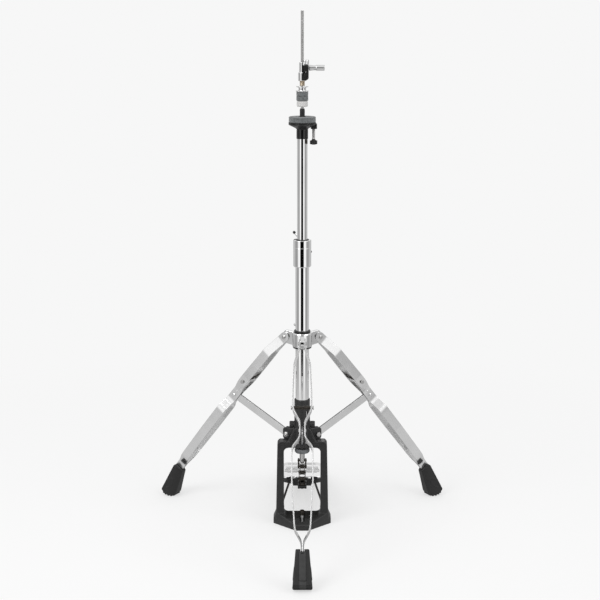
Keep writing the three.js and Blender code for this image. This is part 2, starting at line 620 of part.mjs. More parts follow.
// A deep band under the toe with a block in its middle; the band is shallower toward its ends.
function toeBracket() {
  const under = -BOARD.thickness - GAP;
  const { blockHalf, low, bandLow, endLow, back } = TOE;
  const band = slabXY(boardOutline(1), bandLow, under).subtract(box([-60, 20, low], [60, 300, 0]));
  const block = box([-blockHalf, -1.5, low], [blockHalf, back, under]);
  const wedges = [-1, 1].map((side) => hull([-20, 40].flatMap((y) => [
    [side * blockHalf, y, bandLow - 1], [side * 50, y, bandLow - 1], [side * 50, y, endLow],
    [side * blockHalf, y, bandLow],
  ])));
  return joined(band.subtract(joined(...wedges)), block);
}
piece('toe_bracket', toeBracket(), blackSteel, board);

function chainAnchor() {
  const z = CHAIN.top - 3 * CHAIN.pitch;
  const { radius, inner, thickness, back, web, half, pinHalf } = CHAIN_ANCHOR;
  const sides = [-1, 1].map((side) => {
    const low = side < 0 ? -inner - thickness : inner;
    const cheek = along('x', bar(radius, low, low + thickness, 20, 0.6), [0, 0, z]);
    return cheek.add(box([low, 0, z - half], [low + thickness, back, z + half]));
  });
  const bridge = box([-inner - thickness, back - web, z - half], [inner + thickness, back, z + half]);
  // Below the last link a thin round cradle closes the space between the cheeks.
  const room = crossX(LINK.radius + 0.8, inner, z, 20).add(box([-inner, -back, z], [inner, back, z + back]));
  const cradle = crossX(radius, inner + 0.1, z, 20).subtract(room);
  const screw = bar(2.2, z - 12, z - 3, 12, 0.5).translate([0, 11.5, 0]);
  return joined(...sides, bridge, cradle, crossX(CHAIN.pin, pinHalf, z), screw);
}
piece('chain_anchor', chainAnchor(), blackPlastic);

function heelPlate() {
  const { half, front, back, corner } = HEEL;
  const shape = new THREE.Shape();
  shape.moveTo(-half, front);
  shape.lineTo(half, front);
  shape.lineTo(half, back - corner);
  shape.quadraticCurveTo(half, back, half - corner, back);
  shape.lineTo(-half + corner, back);
  shape.quadraticCurveTo(-half, back, -half, back - corner);
  let plate = slabXY(shape, 0, HEEL.height);
  for (const side of [-1, 1]) {
    const low = side < 0 ? -HEEL_EAR.low - HEEL_EAR.width : HEEL_EAR.low;
    const high = low + HEEL_EAR.width;
    plate = plate.add(along('x', plain(HEEL.ear, low, high, 24), [0, HEEL.y, HEEL.z]));
    plate = plate.add(box([low, HEEL.y - HEEL.ear, 0], [high, front + 1.5, HEEL.z]));
    const rodHole = plain(RADIUS_ROD.hole, 240, 262, SMALL_ROUND);
    plate = plate.subtract(along('y', rodHole, [side * RADIUS_ROD.heelX, 0, RADIUS_ROD.heelZ]));
  }
  return plate.add(crossX(HEEL_PIN.radius, HEEL_PIN.half, HEEL.z).translate([0, HEEL.y, 0]));
}
piece('heel_plate', heelPlate(), chrome);

function radiusRod(side) {
  const x = side * ROD_LUG.x;
  const heelX = side * RADIUS_ROD.heelX;
  const { front, back, straight, heelZ } = RADIUS_ROD;
  const path = new THREE.CatmullRomCurve3([
    new THREE.Vector3(x, front, ROD_LUG.z),
    new THREE.Vector3(x, front + straight, ROD_LUG.z),
    new THREE.Vector3(heelX, back - straight, heelZ),
    new THREE.Vector3(heelX, back, heelZ),
  ], false, 'catmullrom', 0.08);
  const section = new THREE.Shape();
  section.absarc(0, 0, RADIUS_ROD.radius, 0, 2 * Math.PI, false);
  return solid(new THREE.ExtrudeGeometry(section, {
    steps: 14,
    curveSegments: 4,
    bevelEnabled: false,
    extrudePath: path,
  }));
}
piece('radius_rod_left', radiusRod(-1), blackSteel);
piece('radius_rod_right', radiusRod(1), blackSteel);

// ---- cymbal seat ------------------------------------------------------------------------------------
piece('seat_neck', turned([
  [UPPER_TUBE.radius + GAP, SEAT.neckBottom], [10.8, SEAT.neckBottom], [10.8, SEAT.baseBottom - GAP],
  [5.2, SEAT.baseBottom - GAP], [5.2, UPPER_TUBE.top + GAP], [UPPER_TUBE.radius + GAP, UPPER_TUBE.top + GAP],
]), blackPlastic);
piece('neck_set_screw', bar(1.7, 741, SEAT.neckBottom - GAP, 8, 0.4).translate([8, -8.6, 0]), blackSteel);

function seatBase() {
  const cone = turned([
    [4.9, SEAT.baseBottom], [11.4, SEAT.baseBottom], [24.4, 775], [25.2, 777.1], [4.9, 777.1],
  ]);
  const block = box([15.5, -6, SEAT.baseBottom + 0.4], [27, 6, 777.1]);
  return cone.add(block).subtract(plain(TILTER.radius + GAP, 760, 790, SMALL_ROUND).translate([TILTER.x, 0, 0]));
}
piece('seat_base', seatBase(), blackPlastic);
piece('seat_sleeve', ring(3.4, 4.6, 768, SLEEVE_TOP, 24), rubber);
piece('seat_plate', ring(7, SEAT_RADIUS + 0.7, SEAT.plateBottom, 779.3), blackPlastic);
piece('seat_felt', turned([
  [7, SEAT.feltBottom], [SEAT_RADIUS - 0.6, SEAT.feltBottom], [SEAT_RADIUS, 781], [SEAT_RADIUS, 788.4],
  [SEAT_RADIUS - 1, SEAT_TOP], [7, SEAT_TOP],
]), feltGrey);
piece('tilter_screw', bar(TILTER.radius, 748, 776.9, SMALL_ROUND, 0.4).translate([TILTER.x, 0, 0]), chrome);

function tilterKnob() {
  const middle = bar(TILTER.knob, TILTER.knobBottom, TILTER.knobTop, 20, 1);
  const lobes = [-1, 1].map((side) => {
    const lobe = bar(TILTER.lobe, TILTER.knobBottom + 0.6, TILTER.knobTop - 0.8, 12, 0.9);
    return lobe.translate([side * TILTER.lobeX, 0, 0]);
  });
  return joined(middle, ...lobes).translate([TILTER.x, 0, 0]);
}
piece('tilter_knob', tilterKnob(), blackPlastic);

// ---- clutch -----------------------------------------------------------------------------------------
function clutchBody() {
  const core = turned([
    [ROD_BORE, 825.5], [5.2, 825.5], [5.2, CLUTCH.bottom], [6.5, CLUTCH.bottom], [6.5, 834.6],
    [4.75, 835], [4.75, CLUTCH_BODY.bottom], [7.4, CLUTCH_BODY.bottom], [7.4, CLUTCH_BODY.step],
    [5.6, CLUTCH_BODY.step + 1], [5.6, 888], [ROD_BORE, 888],
  ], 24);
  const block = box([1, -5.6, CLUTCH_BODY.blockBottom], [12, 5.6, CLUTCH_BODY.top]);
  return core.add(block).subtract(plain(ROD_BORE, 880, 900, 24));
}
piece('clutch_body', clutchBody(), chrome);

function clutchHousing() {
  const shape = new THREE.Shape();
  shape.moveTo(-1.2, 855.4);
  shape.lineTo(6, 855.4);
  shape.quadraticCurveTo(11.6, 856, 11.6, 866);
  shape.lineTo(11.6, CLUTCH_BODY.blockBottom - GAP);
  shape.lineTo(0.9, CLUTCH_BODY.blockBottom - GAP);
  shape.lineTo(0.9, CLUTCH_BODY.step - 1);
  shape.lineTo(-1.2, CLUTCH_BODY.step - 3);
  const block = slabXZ(shape, -9, 9);
  const inside = joined(
    plain(7.7, 850, CLUTCH_BODY.step + 2, 24),
    plain(5.9, 860, 890, 24),
    along('x', plain(3.3, 3, 15, SMALL_ROUND), [0, 0, CLUTCH_BODY.boltZ]),
    along('y', plain(1.9, -12, 12, 12), [5.2, 0, 869.5]),
  );
  return block.subtract(inside);
}
piece('clutch_housing', clutchHousing(), blackPlastic);

piece('clutch_wing_bolt', along('x', turned([
  [0, 6.4], [2.9, 6.4], [2.9, 12], [3.6, 12.2], [5, 18.5], [5.4, 19.5], [5.4, 39.8], [4.8, 40.6], [0, 40.6],
], 24), [0, 0, CLUTCH_BODY.boltZ]), chrome);

piece('clutch_flange_nut', turned([
  [5.05, CLUTCH.nutBottom], [11.6, CLUTCH.nutBottom], [11.6, CLUTCH.nutBottom + 1.5], [6.6, 838.4],
  [6.6, 842.4], [10.9, 843.6], [10.9, CLUTCH.nutTop], [5.05, CLUTCH.nutTop],
]), chrome);
piece('clutch_felt_upper', ring(6.9, 10.8, CLUTCH.feltMiddle + GAP, CLUTCH.nutBottom - GAP), feltGrey);
piece('clutch_felt_lower', ring(6.9, 10.8, CLUTCH.feltBottom, CLUTCH.feltMiddle), feltGrey);
piece('clutch_lower_nut', turned([
  [6.8, CLUTCH.bottom], [9.4, CLUTCH.bottom], [10.2, CLUTCH.bottom + 0.9],
  [10.2, 817.6], [9.6, 818.5], [6.8, 818.5],
]), nylon);

export default stand;
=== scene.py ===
"""Hi-hat stand: fine surfaces, materials, light and camera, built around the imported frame.

Shapes are drawn in millimetres in the frame's own axes (+Z up, the front leg toward -Y, the footboard
toward +Y) and scaled to metres when they become objects.
"""
import json
import math

import bmesh
import bpy
from mathutils import Matrix, Vector, noise


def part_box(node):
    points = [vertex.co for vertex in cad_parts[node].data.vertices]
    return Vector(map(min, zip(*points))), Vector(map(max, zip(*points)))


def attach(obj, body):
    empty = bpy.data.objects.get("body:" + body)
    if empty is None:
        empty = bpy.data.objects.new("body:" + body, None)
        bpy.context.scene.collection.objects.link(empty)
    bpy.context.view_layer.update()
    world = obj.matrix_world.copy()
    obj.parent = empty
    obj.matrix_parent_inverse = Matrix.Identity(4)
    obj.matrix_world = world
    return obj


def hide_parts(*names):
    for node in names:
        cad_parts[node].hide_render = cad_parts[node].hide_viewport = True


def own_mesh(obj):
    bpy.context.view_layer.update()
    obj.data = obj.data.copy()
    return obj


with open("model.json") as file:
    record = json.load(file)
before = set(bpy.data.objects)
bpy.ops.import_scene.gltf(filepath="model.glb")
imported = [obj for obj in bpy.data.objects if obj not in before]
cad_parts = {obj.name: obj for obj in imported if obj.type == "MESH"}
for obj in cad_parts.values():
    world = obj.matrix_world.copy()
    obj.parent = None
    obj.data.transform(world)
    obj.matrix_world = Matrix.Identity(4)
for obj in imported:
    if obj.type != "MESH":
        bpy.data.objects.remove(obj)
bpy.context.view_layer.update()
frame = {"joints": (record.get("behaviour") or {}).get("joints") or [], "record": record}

MM = 0.001
RECORD = frame["record"]
BODY_OF = {node: body for body, nodes in RECORD["behaviour"]["bodies"].items() for node in nodes}
JOINTS = {joint["name"]: joint for joint in frame["joints"]}
SHARP_ANGLE = math.radians(38)
ALL_SMOOTH = math.pi


def span(node):
    """A CAD node's lowest and highest corners, in millimetres."""
    low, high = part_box(node)
    return low / MM, high / MM


def pivot(joint):
    return Vector(JOINTS[joint]["pos_m"]) / MM


# ---- outlines ------------------------------------------------------------------------------------
def rounded(corners, steps=4):
    """A closed outline in which each corner (x, y, radius) becomes an arc; (x, y) stays sharp."""
    points = []
    for i, corner in enumerate(corners):
        here = Vector(corner[:2])
        before = Vector(corners[i - 1][:2]) - here
        after = Vector(corners[(i + 1) % len(corners)][:2]) - here
        if len(corner) < 3 or corner[2] == 0:
            points.append(here)
            continue
        half = before.angle(after) / 2
        reach = min(corner[2] / math.tan(half), 0.48 * before.length, 0.48 * after.length)
        radius = reach * math.tan(half)
        toward = (before.normalized() + after.normalized()).normalized()
        centre = here + toward * radius / math.sin(half)
        start = here + before.normalized() * reach - centre
        end = here + after.normalized() * reach - centre
        for k in range(steps + 1):
            points.append(centre + start.normalized().slerp(end.normalized(), k / steps) * radius)
    return points


def circle(radius, sides=12, x=0, y=0):
    turns = [2 * math.pi * k / sides for k in range(sides)]
    return [Vector((x + radius * math.cos(turn), y + radius * math.sin(turn))) for turn in turns]


def rectangle(left, bottom, right, top, radius):
    corners = ((left, bottom), (right, bottom), (right, top), (left, top))
    return rounded([(*corner, radius) for corner in corners])


def hexagon(radius, corner):
    return rounded([(*spot, corner) for spot in circle(radius, 6)], 2)


# ---- solids --------------------------------------------------------------------------------------
def skin(shape, rings, closed=False, caps=True):
    """Joins rings of vertices into one surface. A ring of one vertex is a point on the axis."""
    pairs = list(zip(rings, rings[1:]))
    if closed:
        pairs.append((rings[-1], rings[0]))
    for lower, upper in pairs:
        count = max(len(lower), len(upper))
        for i in range(count):
            j = (i + 1) % count
            below = [lower[i % len(lower)], lower[j % len(lower)]]
            above = [upper[j % len(upper)], upper[i % len(upper)]]
            unique = list(dict.fromkeys(below + above))
            if len(unique) > 2:
                shape.faces.new(unique)
    if caps and not closed:
        for end in (rings[0], rings[-1]):
            if len(end) > 2:
                shape.faces.new(end)
    return shape


def turned(corners, sides=48, steps=4):
    """A turned solid about Z from (radius, height, rounding) corners."""
    shape = bmesh.new()
    rings = []
    for radius, height in rounded(corners, steps):
        if radius < 1e-6:
            rings.append([shape.verts.new((0, 0, height))])
        else:
            rings.append([shape.verts.new((*spot, height)) for spot in circle(radius, sides)])
    return skin(shape, rings, closed=corners[0][0] > 0, caps=False)


def bar(radius, low, high, edge=0.4, sides=32):
    return turned([(0, low), (radius, low, edge), (radius, high, edge), (0, high)], sides)


def ring(inner, outer, low, high, edge=0.4, sides=64):
    return turned([(inner, low, edge), (outer, low, edge), (outer, high, edge), (inner, high, edge)], sides)


UPRIGHT = {
    "xy": Matrix.Identity(4),
    "xz": Matrix(((1, 0, 0, 0), (0, 0, 1, 0), (0, 1, 0, 0), (0, 0, 0, 1))),
    "yz": Matrix(((0, 0, 1, 0), (1, 0, 0, 0), (0, 1, 0, 0), (0, 0, 0, 1))),
}


def slab(outline, low, high, edge=0.5, plane="xy", steps=3):
    """A flat piece drawn in a plane, with rounded rims; low and high are its faces across that plane."""
    count = len(outline)
    mitres = []
    for i, here in enumerate(outline):
        one = (here - outline[i - 1]).normalized()
        two = (outline[(i + 1) % count] - here).normalized()
        one, two = Vector((one.y, -one.x)), Vector((two.y, -two.x))
        mitres.append((one + two) / max(1 + one.dot(two), 0.3))
    if sum(a.x * b.y - a.y * b.x for a, b in zip(outline, outline[1:] + outline[:1])) < 0:
        mitres = [-mitre for mitre in mitres]
    quarter = [math.pi / 2 * k / steps for k in range(steps + 1)]
    levels = [(low + edge * (1 - math.cos(turn)), edge * (1 - math.sin(turn))) for turn in quarter]
    levels += [(high + low - level, inset) for level, inset in reversed(levels)]
    shape = bmesh.new()
    rings = []
    for level, inset in levels:
        spots = [point - mitre * inset for point, mitre in zip(outline, mitres)]
        rings.append([shape.verts.new((*spot, level)) for spot in spots])
    skin(shape, rings)
    bmesh.ops.transform(shape, matrix=UPRIGHT[plane], verts=shape.verts)
    return shape


def block(low, high, edge=0.6):
    return slab(rectangle(low[0], low[1], high[0], high[1], edge), low[2], high[2], edge * 0.6)


def hull(points):
    shape = bmesh.new()
    for point in points:
        shape.verts.new(point)
    result = bmesh.ops.convex_hull(shape, input=shape.verts)
    spare = list({*result["geom_interior"], *result["geom_unused"]})
    bmesh.ops.delete(shape, geom=spare, context="VERTS")
    return shape


def swept(path, section, up=Vector((0, 0, 1))):
    """A solid that carries a section of (across, up) points along a path."""
    shape = bmesh.new()
    rings = []
    for i, point in enumerate(path):
        ahead = (path[min(i + 1, len(path) - 1)] - path[max(i - 1, 0)]).normalized()
        across = ahead.cross(up).normalized()
        up = across.cross(ahead).normalized()
        rings.append([shape.verts.new(point + across * a + up * b) for a, b in section])
    return skin(shape, rings)


def thread(radius, depth, pitch, low, high, sides=20):
    """A solid screw thread about Z that fades out at both ends."""
    shape = bmesh.new()
    rings = []
    levels = max(4, round((high - low) / pitch * 6))
    for k in range(levels + 1):
        height = low + (high - low) * k / levels
        fade = min(1, (height - low) / pitch, (high - height) / pitch)
        spots = []
        for i, spot in enumerate(circle(1, sides)):
            wave = abs((height / pitch - i / sides) % 1 * 2 - 1)
            spots.append(shape.verts.new((*(spot * (radius - depth * (1 - wave * fade))), height)))
        rings.append(spots)
    return skin(shape, rings)


def moved(shape, x=0, y=0, z=0):
    bmesh.ops.translate(shape, vec=(x, y, z), verts=shape.verts)
    return shape


def spun(shape, degrees, axis="Z"):
    bmesh.ops.transform(shape, matrix=Matrix.Rotation(math.radians(degrees), 4, axis), verts=shape.verts)
    return shape


def laid(axis, shape, place=(0, 0, 0)):
    """Lays a piece drawn about Z along +X or +Y and moves it."""
    if axis == "x":
        spun(shape, 90, "Y")
    else:
        spun(shape, -90, "X")
    return moved(shape, *place)


def cross(radius, half, z, edge=0.2, sides=28):
    """A round bar along X through the middle of the column, at a height."""
    return laid("x", bar(radius, -half, half, edge, sides), (0, 0, z))


def merged(*shapes):
    """Separate closed shells kept as one piece."""
    whole = bmesh.new()
    for shape in shapes:
        mesh = bpy.data.meshes.new("shell")
        shape.to_mesh(mesh)
        shape.free()
        whole.from_mesh(mesh)
        bpy.data.meshes.remove(mesh)
    return whole


def fluted(shape, count, depth, low, high):
    """Presses flutes into the side of a turned piece between two heights."""
    for vert in shape.verts:
        if low < vert.co.z < high:
            turn = math.atan2(vert.co.y, vert.co.x)
            radius = vert.co.xy.length
            pressed = radius - depth * (0.5 - 0.5 * math.cos(count * turn))
            vert.co.xy *= pressed / max(radius, 1e-6)
    return shape


def loose_object(shape):
    mesh = bpy.data.meshes.new("loose")
    bmesh.ops.recalc_face_normals(shape, faces=shape.faces)
    shape.to_mesh(mesh)
    shape.free()
    made = bpy.data.objects.new("loose", mesh)
    bpy.context.scene.collection.objects.link(made)
    return made


def baked(made, *helpers):
    """The shape of an object with its modifiers applied; it and its helpers are removed."""
    view = bpy.context.evaluated_depsgraph_get()
    mesh = bpy.data.meshes.new_from_object(made.evaluated_get(view))
    shape = bmesh.new()
    shape.from_mesh(mesh)
    bpy.data.meshes.remove(mesh)
    for used in (made, *helpers):
        data = used.data
        bpy.data.objects.remove(used)
        bpy.data.meshes.remove(data)
    return shape


def combined(operation, shape, tools):
    made = loose_object(shape)
    helpers = [loose_object(tool) for tool in tools]
    for helper in helpers:
        step = made.modifiers.new("step", "BOOLEAN")
        step.operation, step.solver, step.object = operation, "EXACT", helper
    return baked(made, *helpers)


def joined(shape, *tools):
    return combined("UNION", shape, tools)


def cut(shape, *tools):
    return combined("DIFFERENCE", shape, tools)


def melted(shape, grain, passes):
    """One continuous skin with softened edges, as a casting or moulded rubber has."""
    made = loose_object(shape)
    cover = made.modifiers.new("cover", "REMESH")
    cover.mode, cover.voxel_size = "VOXEL", grain
    soft = made.modifiers.new("soft", "SMOOTH")
    soft.iterations, soft.factor = passes, 0.5
    return baked(made)


def fine(node, shape, material, smooth=SHARP_ANGLE, accents=()):
    """Adds a shape as the fine form of a CAD node: it rides, and takes its slot, as that node does.

    Each accent is a further material and a test on a face's centre (mm) and normal that says where it goes;
    where more than one test holds, the last of them counts.
    """
    bmesh.ops.recalc_face_normals(shape, faces=shape.faces)
    shape.normal_update()
    for face in shape.faces:
        for k, (_, test) in enumerate(accents):
            if test(face.calc_center_median(), face.normal):
                face.material_index = k + 1
    bmesh.ops.transform(shape, matrix=Matrix.Scale(MM, 4), verts=shape.verts)
    mesh = bpy.data.meshes.new(f"{node}_raw")
    shape.to_mesh(mesh)
    shape.free()
    mesh.shade_smooth()
    mesh.set_sharp_from_angle(angle=smooth)
    for used in (material, *(accent[0] for accent in accents)):
        mesh.materials.append(used)
    made = bpy.data.objects.new(f"{node}_fine", mesh)
    bpy.context.scene.collection.objects.link(made)
    if smooth < ALL_SMOOTH:
        # Flat faces keep flat shading where they meet a rounded rim.
        weigh = made.modifiers.new("weigh", "WEIGHTED_NORMAL")
        weigh.weight, weigh.keep_sharp = 90, True
        view = bpy.context.evaluated_depsgraph_get()
        made.data = bpy.data.meshes.new_from_object(made.evaluated_get(view))
        made.modifiers.clear()
        bpy.data.meshes.remove(mesh)
    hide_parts(node)
    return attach(made, BODY_OF[node])


# ---- materials -----------------------------------------------------------------------------------
def add_node(tree, kind, inputs=None, **settings):
    made = tree.nodes.new("ShaderNode" + kind)
    for name, value in settings.items():
        setattr(made, name, value)
    for name, value in (inputs or {}).items():
        if isinstance(value, bpy.types.NodeSocket):
            tree.links.new(value, made.inputs[name])
        else:
            made.inputs[name].default_value = value
    return made


def new_tree(name):
    material = bpy.data.materials.new(name)
    material.use_nodes = True
    tree = material.node_tree
    tree.nodes.clear()
    surface = add_node(tree, "BsdfPrincipled")
    out = add_node(tree, "OutputMaterial")
    tree.links.new(surface.outputs["BSDF"], out.inputs["Surface"])
    return material, tree, surface


def blotches(tree, scale, detail=4, stretch=(1, 1, 1)):
    """A noise value from 0 to 1 over the object, stretched along the axes if asked."""
    place = add_node(tree, "TexCoord").outputs["Object"]
    if stretch != (1, 1, 1):
        place = add_node(tree, "Mapping", {"Vector": place, "Scale": stretch}).outputs["Vector"]
    made = add_node(tree, "TexNoise", {"Vector": place, "Scale": scale, "Detail": detail, "Roughness": 0.6})
    return made.outputs["Fac"]


def ranged(tree, value, low, high, start=0.3, end=0.7):
    inputs = {"Value": value, "From Min": start, "From Max": end, "To Min": low, "To Max": high}
    return add_node(tree, "MapRange", inputs).outputs["Result"]


def blended(tree, share, one, two):
    """A colour between two, as share goes from 0 to 1."""
    made = add_node(tree, "Mix", data_type="RGBA")
    for socket, value in ((made.inputs[0], share), (made.inputs[6], one), (made.inputs[7], two)):
        if isinstance(value, bpy.types.NodeSocket):
            tree.links.new(value, socket)
        else:
            socket.default_value = value
    return made.outputs[2]


def grey(value, warmth=0.0):
    return (value * (1 + warmth), value, value * (1 - warmth), 1)


def finish(name, colours, roughness, metallic=0.0, patch=60, grain=1200, relief=0.004,
           stretch=(1, 1, 1), wear=None, fixed=None):
    """A finish with patchy colour and gloss, a fine grain in relief (mm) and worn edges if asked."""
    material, tree, surface = new_tree(name)
    patches = blotches(tree, patch)
    grains = blotches(tree, grain, 3, stretch)
    colour = blended(tree, ranged(tree, patches, 0, 1), *colours)
    gloss = add_node(tree, "Math", {0: patches, 1: grains}, operation="ADD").outputs[0]
    gloss = ranged(tree, gloss, *roughness, start=0.75, end=1.25)
    if wear:
        raised = ranged(tree, add_node(tree, "NewGeometry").outputs["Pointiness"], 0, 1, 0.53, 0.6)
        edge = add_node(tree, "Math", {0: raised, 1: ranged(tree, patches, 0, wear[1])}, operation="MULTIPLY")
        colour = blended(tree, edge.outputs[0], colour, wear[0])
    tree.links.new(colour, surface.inputs["Base Color"])
    tree.links.new(gloss, surface.inputs["Roughness"])
    bump = add_node(tree, "Bump", {"Height": grains, "Strength": 1.0, "Distance": relief * MM})
    tree.links.new(bump.outputs["Normal"], surface.inputs["Normal"])
    surface.inputs["Metallic"].default_value = metallic
    for socket, value in (fixed or {}).items():
        surface.inputs[socket].default_value = value
    return material


def felt_finish(name, dark, light):
    """Pressed wool: matted fibres in two directions, flecks of lighter and darker wool, soft sheen."""
    material, tree, surface = new_tree(name)
    along = blotches(tree, 900, 6, (0.35, 1, 1))
    across = blotches(tree, 900, 6, (1, 0.35, 1))
    fibres = add_node(tree, "Math", {0: along, 1: across}, operation="ADD").outputs[0]
    flecks = blotches(tree, 260, 5)
    share = add_node(tree, "Math", {0: fibres, 1: flecks}, operation="ADD").outputs[0]
    colour = blended(tree, ranged(tree, share, 0, 1, 1.2, 1.8), dark, light)
    tree.links.new(colour, surface.inputs["Base Color"])
    tree.links.new(ranged(tree, fibres, 0.85, 1.0, 0.8, 1.2), surface.inputs["Roughness"])
    bump = add_node(tree, "Bump", {"Height": share, "Strength": 1.0, "Distance": 0.35 * MM})
    tree.links.new(bump.outputs["Normal"], surface.inputs["Normal"])
    surface.inputs["Sheen Weight"].default_value = 0.25
    surface.inputs["Sheen Roughness"].default_value = 0.6
    return material


TUBE_CHROME = finish("tube_chrome", (grey(0.8), grey(0.86)), (0.02, 0.045), 1.0, 25, 500, 0.0002)
CAST_CHROME = finish("cast_chrome", (grey(0.74), grey(0.82)), (0.06, 0.12), 1.0, 40, 260, 0.002)
STRIP_CHROME = finish("strip_chrome", (grey(0.76), grey(0.83)), (0.14, 0.22), 1.0, 30, 400, 0.0006)
# Darker greys for the edges of chromed strips and braces: a painted dark reflection, not a different finish.
STRIP_EDGE_REFLECTION = finish("strip_edge_reflection", (grey(0.5), grey(0.6)), (0.16, 0.24), 1.0, 30, 400, 0.0006)
EDGE_DARK_REFLECTION = finish("edge_dark_reflection", (grey(0.13), grey(0.2)), (0.3, 0.42), 1.0, 60, 500, 0.001)
BARE_STEEL = finish("bare_steel", (grey(0.48, 0.01), grey(0.58, 0.01)), (0.2, 0.3), 1.0, 60, 500, 0.0008)
BRASS = finish("brass", ((0.44, 0.36, 0.26, 1), (0.6, 0.52, 0.41, 1)), (0.2, 0.32), 1.0, 300, 900, 0.001)
CASTING = finish("casting", (grey(0.011), grey(0.017)), (0.36, 0.5), 0.0, 90, 1100, 0.03,
                 wear=(grey(0.05), 0.7))
BLACK_PLASTIC = finish("black_plastic", (grey(0.006), grey(0.011)), (0.26, 0.4), 0.0, 120, 1600, 0.006,
                       wear=(grey(0.035), 0.5))
GLOSS_BLACK = finish("gloss_black", (grey(0.004), grey(0.007)), (0.1, 0.17), 0.0, 120, 900, 0.002)
SATIN_PLASTIC = finish("satin_plastic", (grey(0.009), grey(0.015)), (0.26, 0.4), 0.0, 120, 1600, 0.008,
                       wear=(grey(0.05), 0.5))
BLACK_STEEL = finish("black_steel", (grey(0.018, 0.15), grey(0.04, 0.18)), (0.28, 0.42), 0.6, 220, 1500,
                     0.003, wear=(grey(0.2, 0.1), 0.6))
ZINC = finish("zinc", (grey(0.42), grey(0.52)), (0.4, 0.5), 0.6, 90, 700, 0.003)
SATIN_BLACK = finish("satin_black", (grey(0.022), grey(0.034)), (0.38, 0.55), 0.0, 160, 1300, 0.01,
                     wear=(grey(0.08), 0.6))
RUBBER = finish("rubber", (grey(0.005), grey(0.011)), (0.45, 0.65), 0.0, 110, 900, 0.03,
                wear=(grey(0.04), 0.6))
# A lighter rubber for the boots' outward panels: a painted sheen.
RUBBER_PAINTED_SHEEN = finish("rubber_painted_sheen", (grey(0.022), grey(0.036)), (0.36, 0.52), 0.0, 110, 900, 0.02)
GREY_RUBBER = finish("grey_rubber", (grey(0.1, -0.05), grey(0.15, -0.05)), (0.42, 0.6), 0.0, 140, 1100, 0.02)
NYLON = finish("nylon", (grey(0.5, 0.01), grey(0.58, 0.01)), (0.35, 0.5), 0.0, 160, 900, 0.01,
               fixed={"Subsurface Weight": 0.1, "Subsurface Radius": (0.002, 0.002, 0.002)})
FELT = felt_finish("felt", (0.05, 0.055, 0.057, 1), (0.17, 0.18, 0.182, 1))


# ---- column --------------------------------------------------------------------------------------
TUBE_WALL = 1.4
CLAMP_BOSS = 8.0
T_BAR = {"radius": 1.9, "half": 24.0, "ball": 2.7}


def boss(node, z, bore):
    """A clamp boss on the drummer's side: what is added, and the bolt hole and bore that are cut out."""
    reach = span(node)[1].y
    solid = laid("y", bar(CLAMP_BOSS, 11, reach, 1.2, 40), (0, 0, z))
    return [solid], [laid("y", bar(4.4, 5, 60), (0, 0, z)), bore]


def column():
    for node in ("lower_tube", "upper_tube"):
        low, high = span(node)
        fine(node, ring(high.x - TUBE_WALL, high.x, low.z, high.z, 0.35, 96), TUBE_CHROME)

    low, high = span("height_sleeve")
    tube = span("lower_tube")[1].x
    radius, groove = high.x, high.z - 14.5
    sleeve = turned([
        (tube + 0.25, low.z, 0.3), (radius - 1.2, low.z, 0.3), (radius, low.z + 1.5, 0.6),
        (radius, groove - 0.4), (radius - 0.3, groove), (radius, groove + 0.4),
        (radius, high.z, 0.9), (tube + 0.25, high.z, 0.3),
    ], 96)
    bore = bar(tube + 0.25, low.z - 5, high.z + 5, 0, 96)
    bosses, cuts = boss("height_sleeve", pivot("height_bolt_turn").z, bore)
    fine("height_sleeve", cut(joined(sleeve, *bosses), *cuts), TUBE_CHROME)

    low, high = span("tube_bush")
    inner = span("upper_tube")[1].x + 0.2
    fine("tube_bush", ring(inner, high.x, low.z, high.z + 0.4, 0.7), BLACK_PLASTIC)


def t_bolt(node, joint, tilt, capped):
    """A clamp bolt with a sliding bar through its head and a ball at each end, black if capped."""
    z = pivot(joint).z
    low, high = span(node)
    bar_y = high.y - 4.0
    half, ball = T_BAR["half"], T_BAR["ball"]
    balls = [turned([
        (0, end - 3), (1.6, end - 3, 0.5), (ball, end - 1.4, 1.2), (ball, end + 1.4, 1.6), (0, end + 3),
    ], 24) for end in (-half, half)]
    handle = joined(bar(T_BAR["radius"], -half, half, 0.2, 20), *balls)
    moved(spun(handle, tilt, "Y"), 0, bar_y, z)
    shank = laid("y", thread(4.0, 0.35, 1.25, low.y, bar_y - 4, 24), (0, 0, z))
    head = laid("y", turned([
        (0, bar_y - 6), (4.4, bar_y - 6, 0.4), (5.3, bar_y - 3, 0.8), (5.3, high.y, 1.0), (0, high.y),
    ], 32), (0, 0, z))
    middle = Vector((0, bar_y, z))
    caps = (BLACK_PLASTIC, lambda at, _: capped and (at - middle).xz.length > half - 3.2)
    fine(node, joined(shank, head, handle), CAST_CHROME, accents=[caps])


# ---- legs ----------------------------------------------------------------------------------------
LEGS = ("front", "right", "left")
STRIP = {"width": 18.0, "thickness": 2.3, "edge": 0.55}
BEND = Vector((66, 342))
WAIST = Vector((152, 238))
LEG_END = Vector((290.5, 62.4))
BEND_EASE = 12.0
# Distance from the hinge, and how far the strip's outer face stands from the leg's middle plane.
STRIP_BOW = [
    (-11, 6.4), (10, 6.4), (47, 16.2), (87, 17.8), (118, 18.6), (136, 17.6), (160, 5.7), (190, 5.7),
    (209, 20), (270, 20), (350, 15.6), (361, 14.4), (381, 3.4), (391, 2.9), (400, 2.8),
]
BOW_ROUNDING = 22.0
SPACER_AT = 131.0
BRACE_HALF = 7.5
BRACE_THICKNESS = 3.3
DARKEST_REFLECTION_BELOW = 88.0  # below this height a strip's edges take the darkest painted reflection


def leg_turn(name):
    """The way a leg points, in degrees about the column."""
    hinge = pivot(f"leg_{name}_hinge")
    return math.degrees(math.atan2(hinge.y, hinge.x))


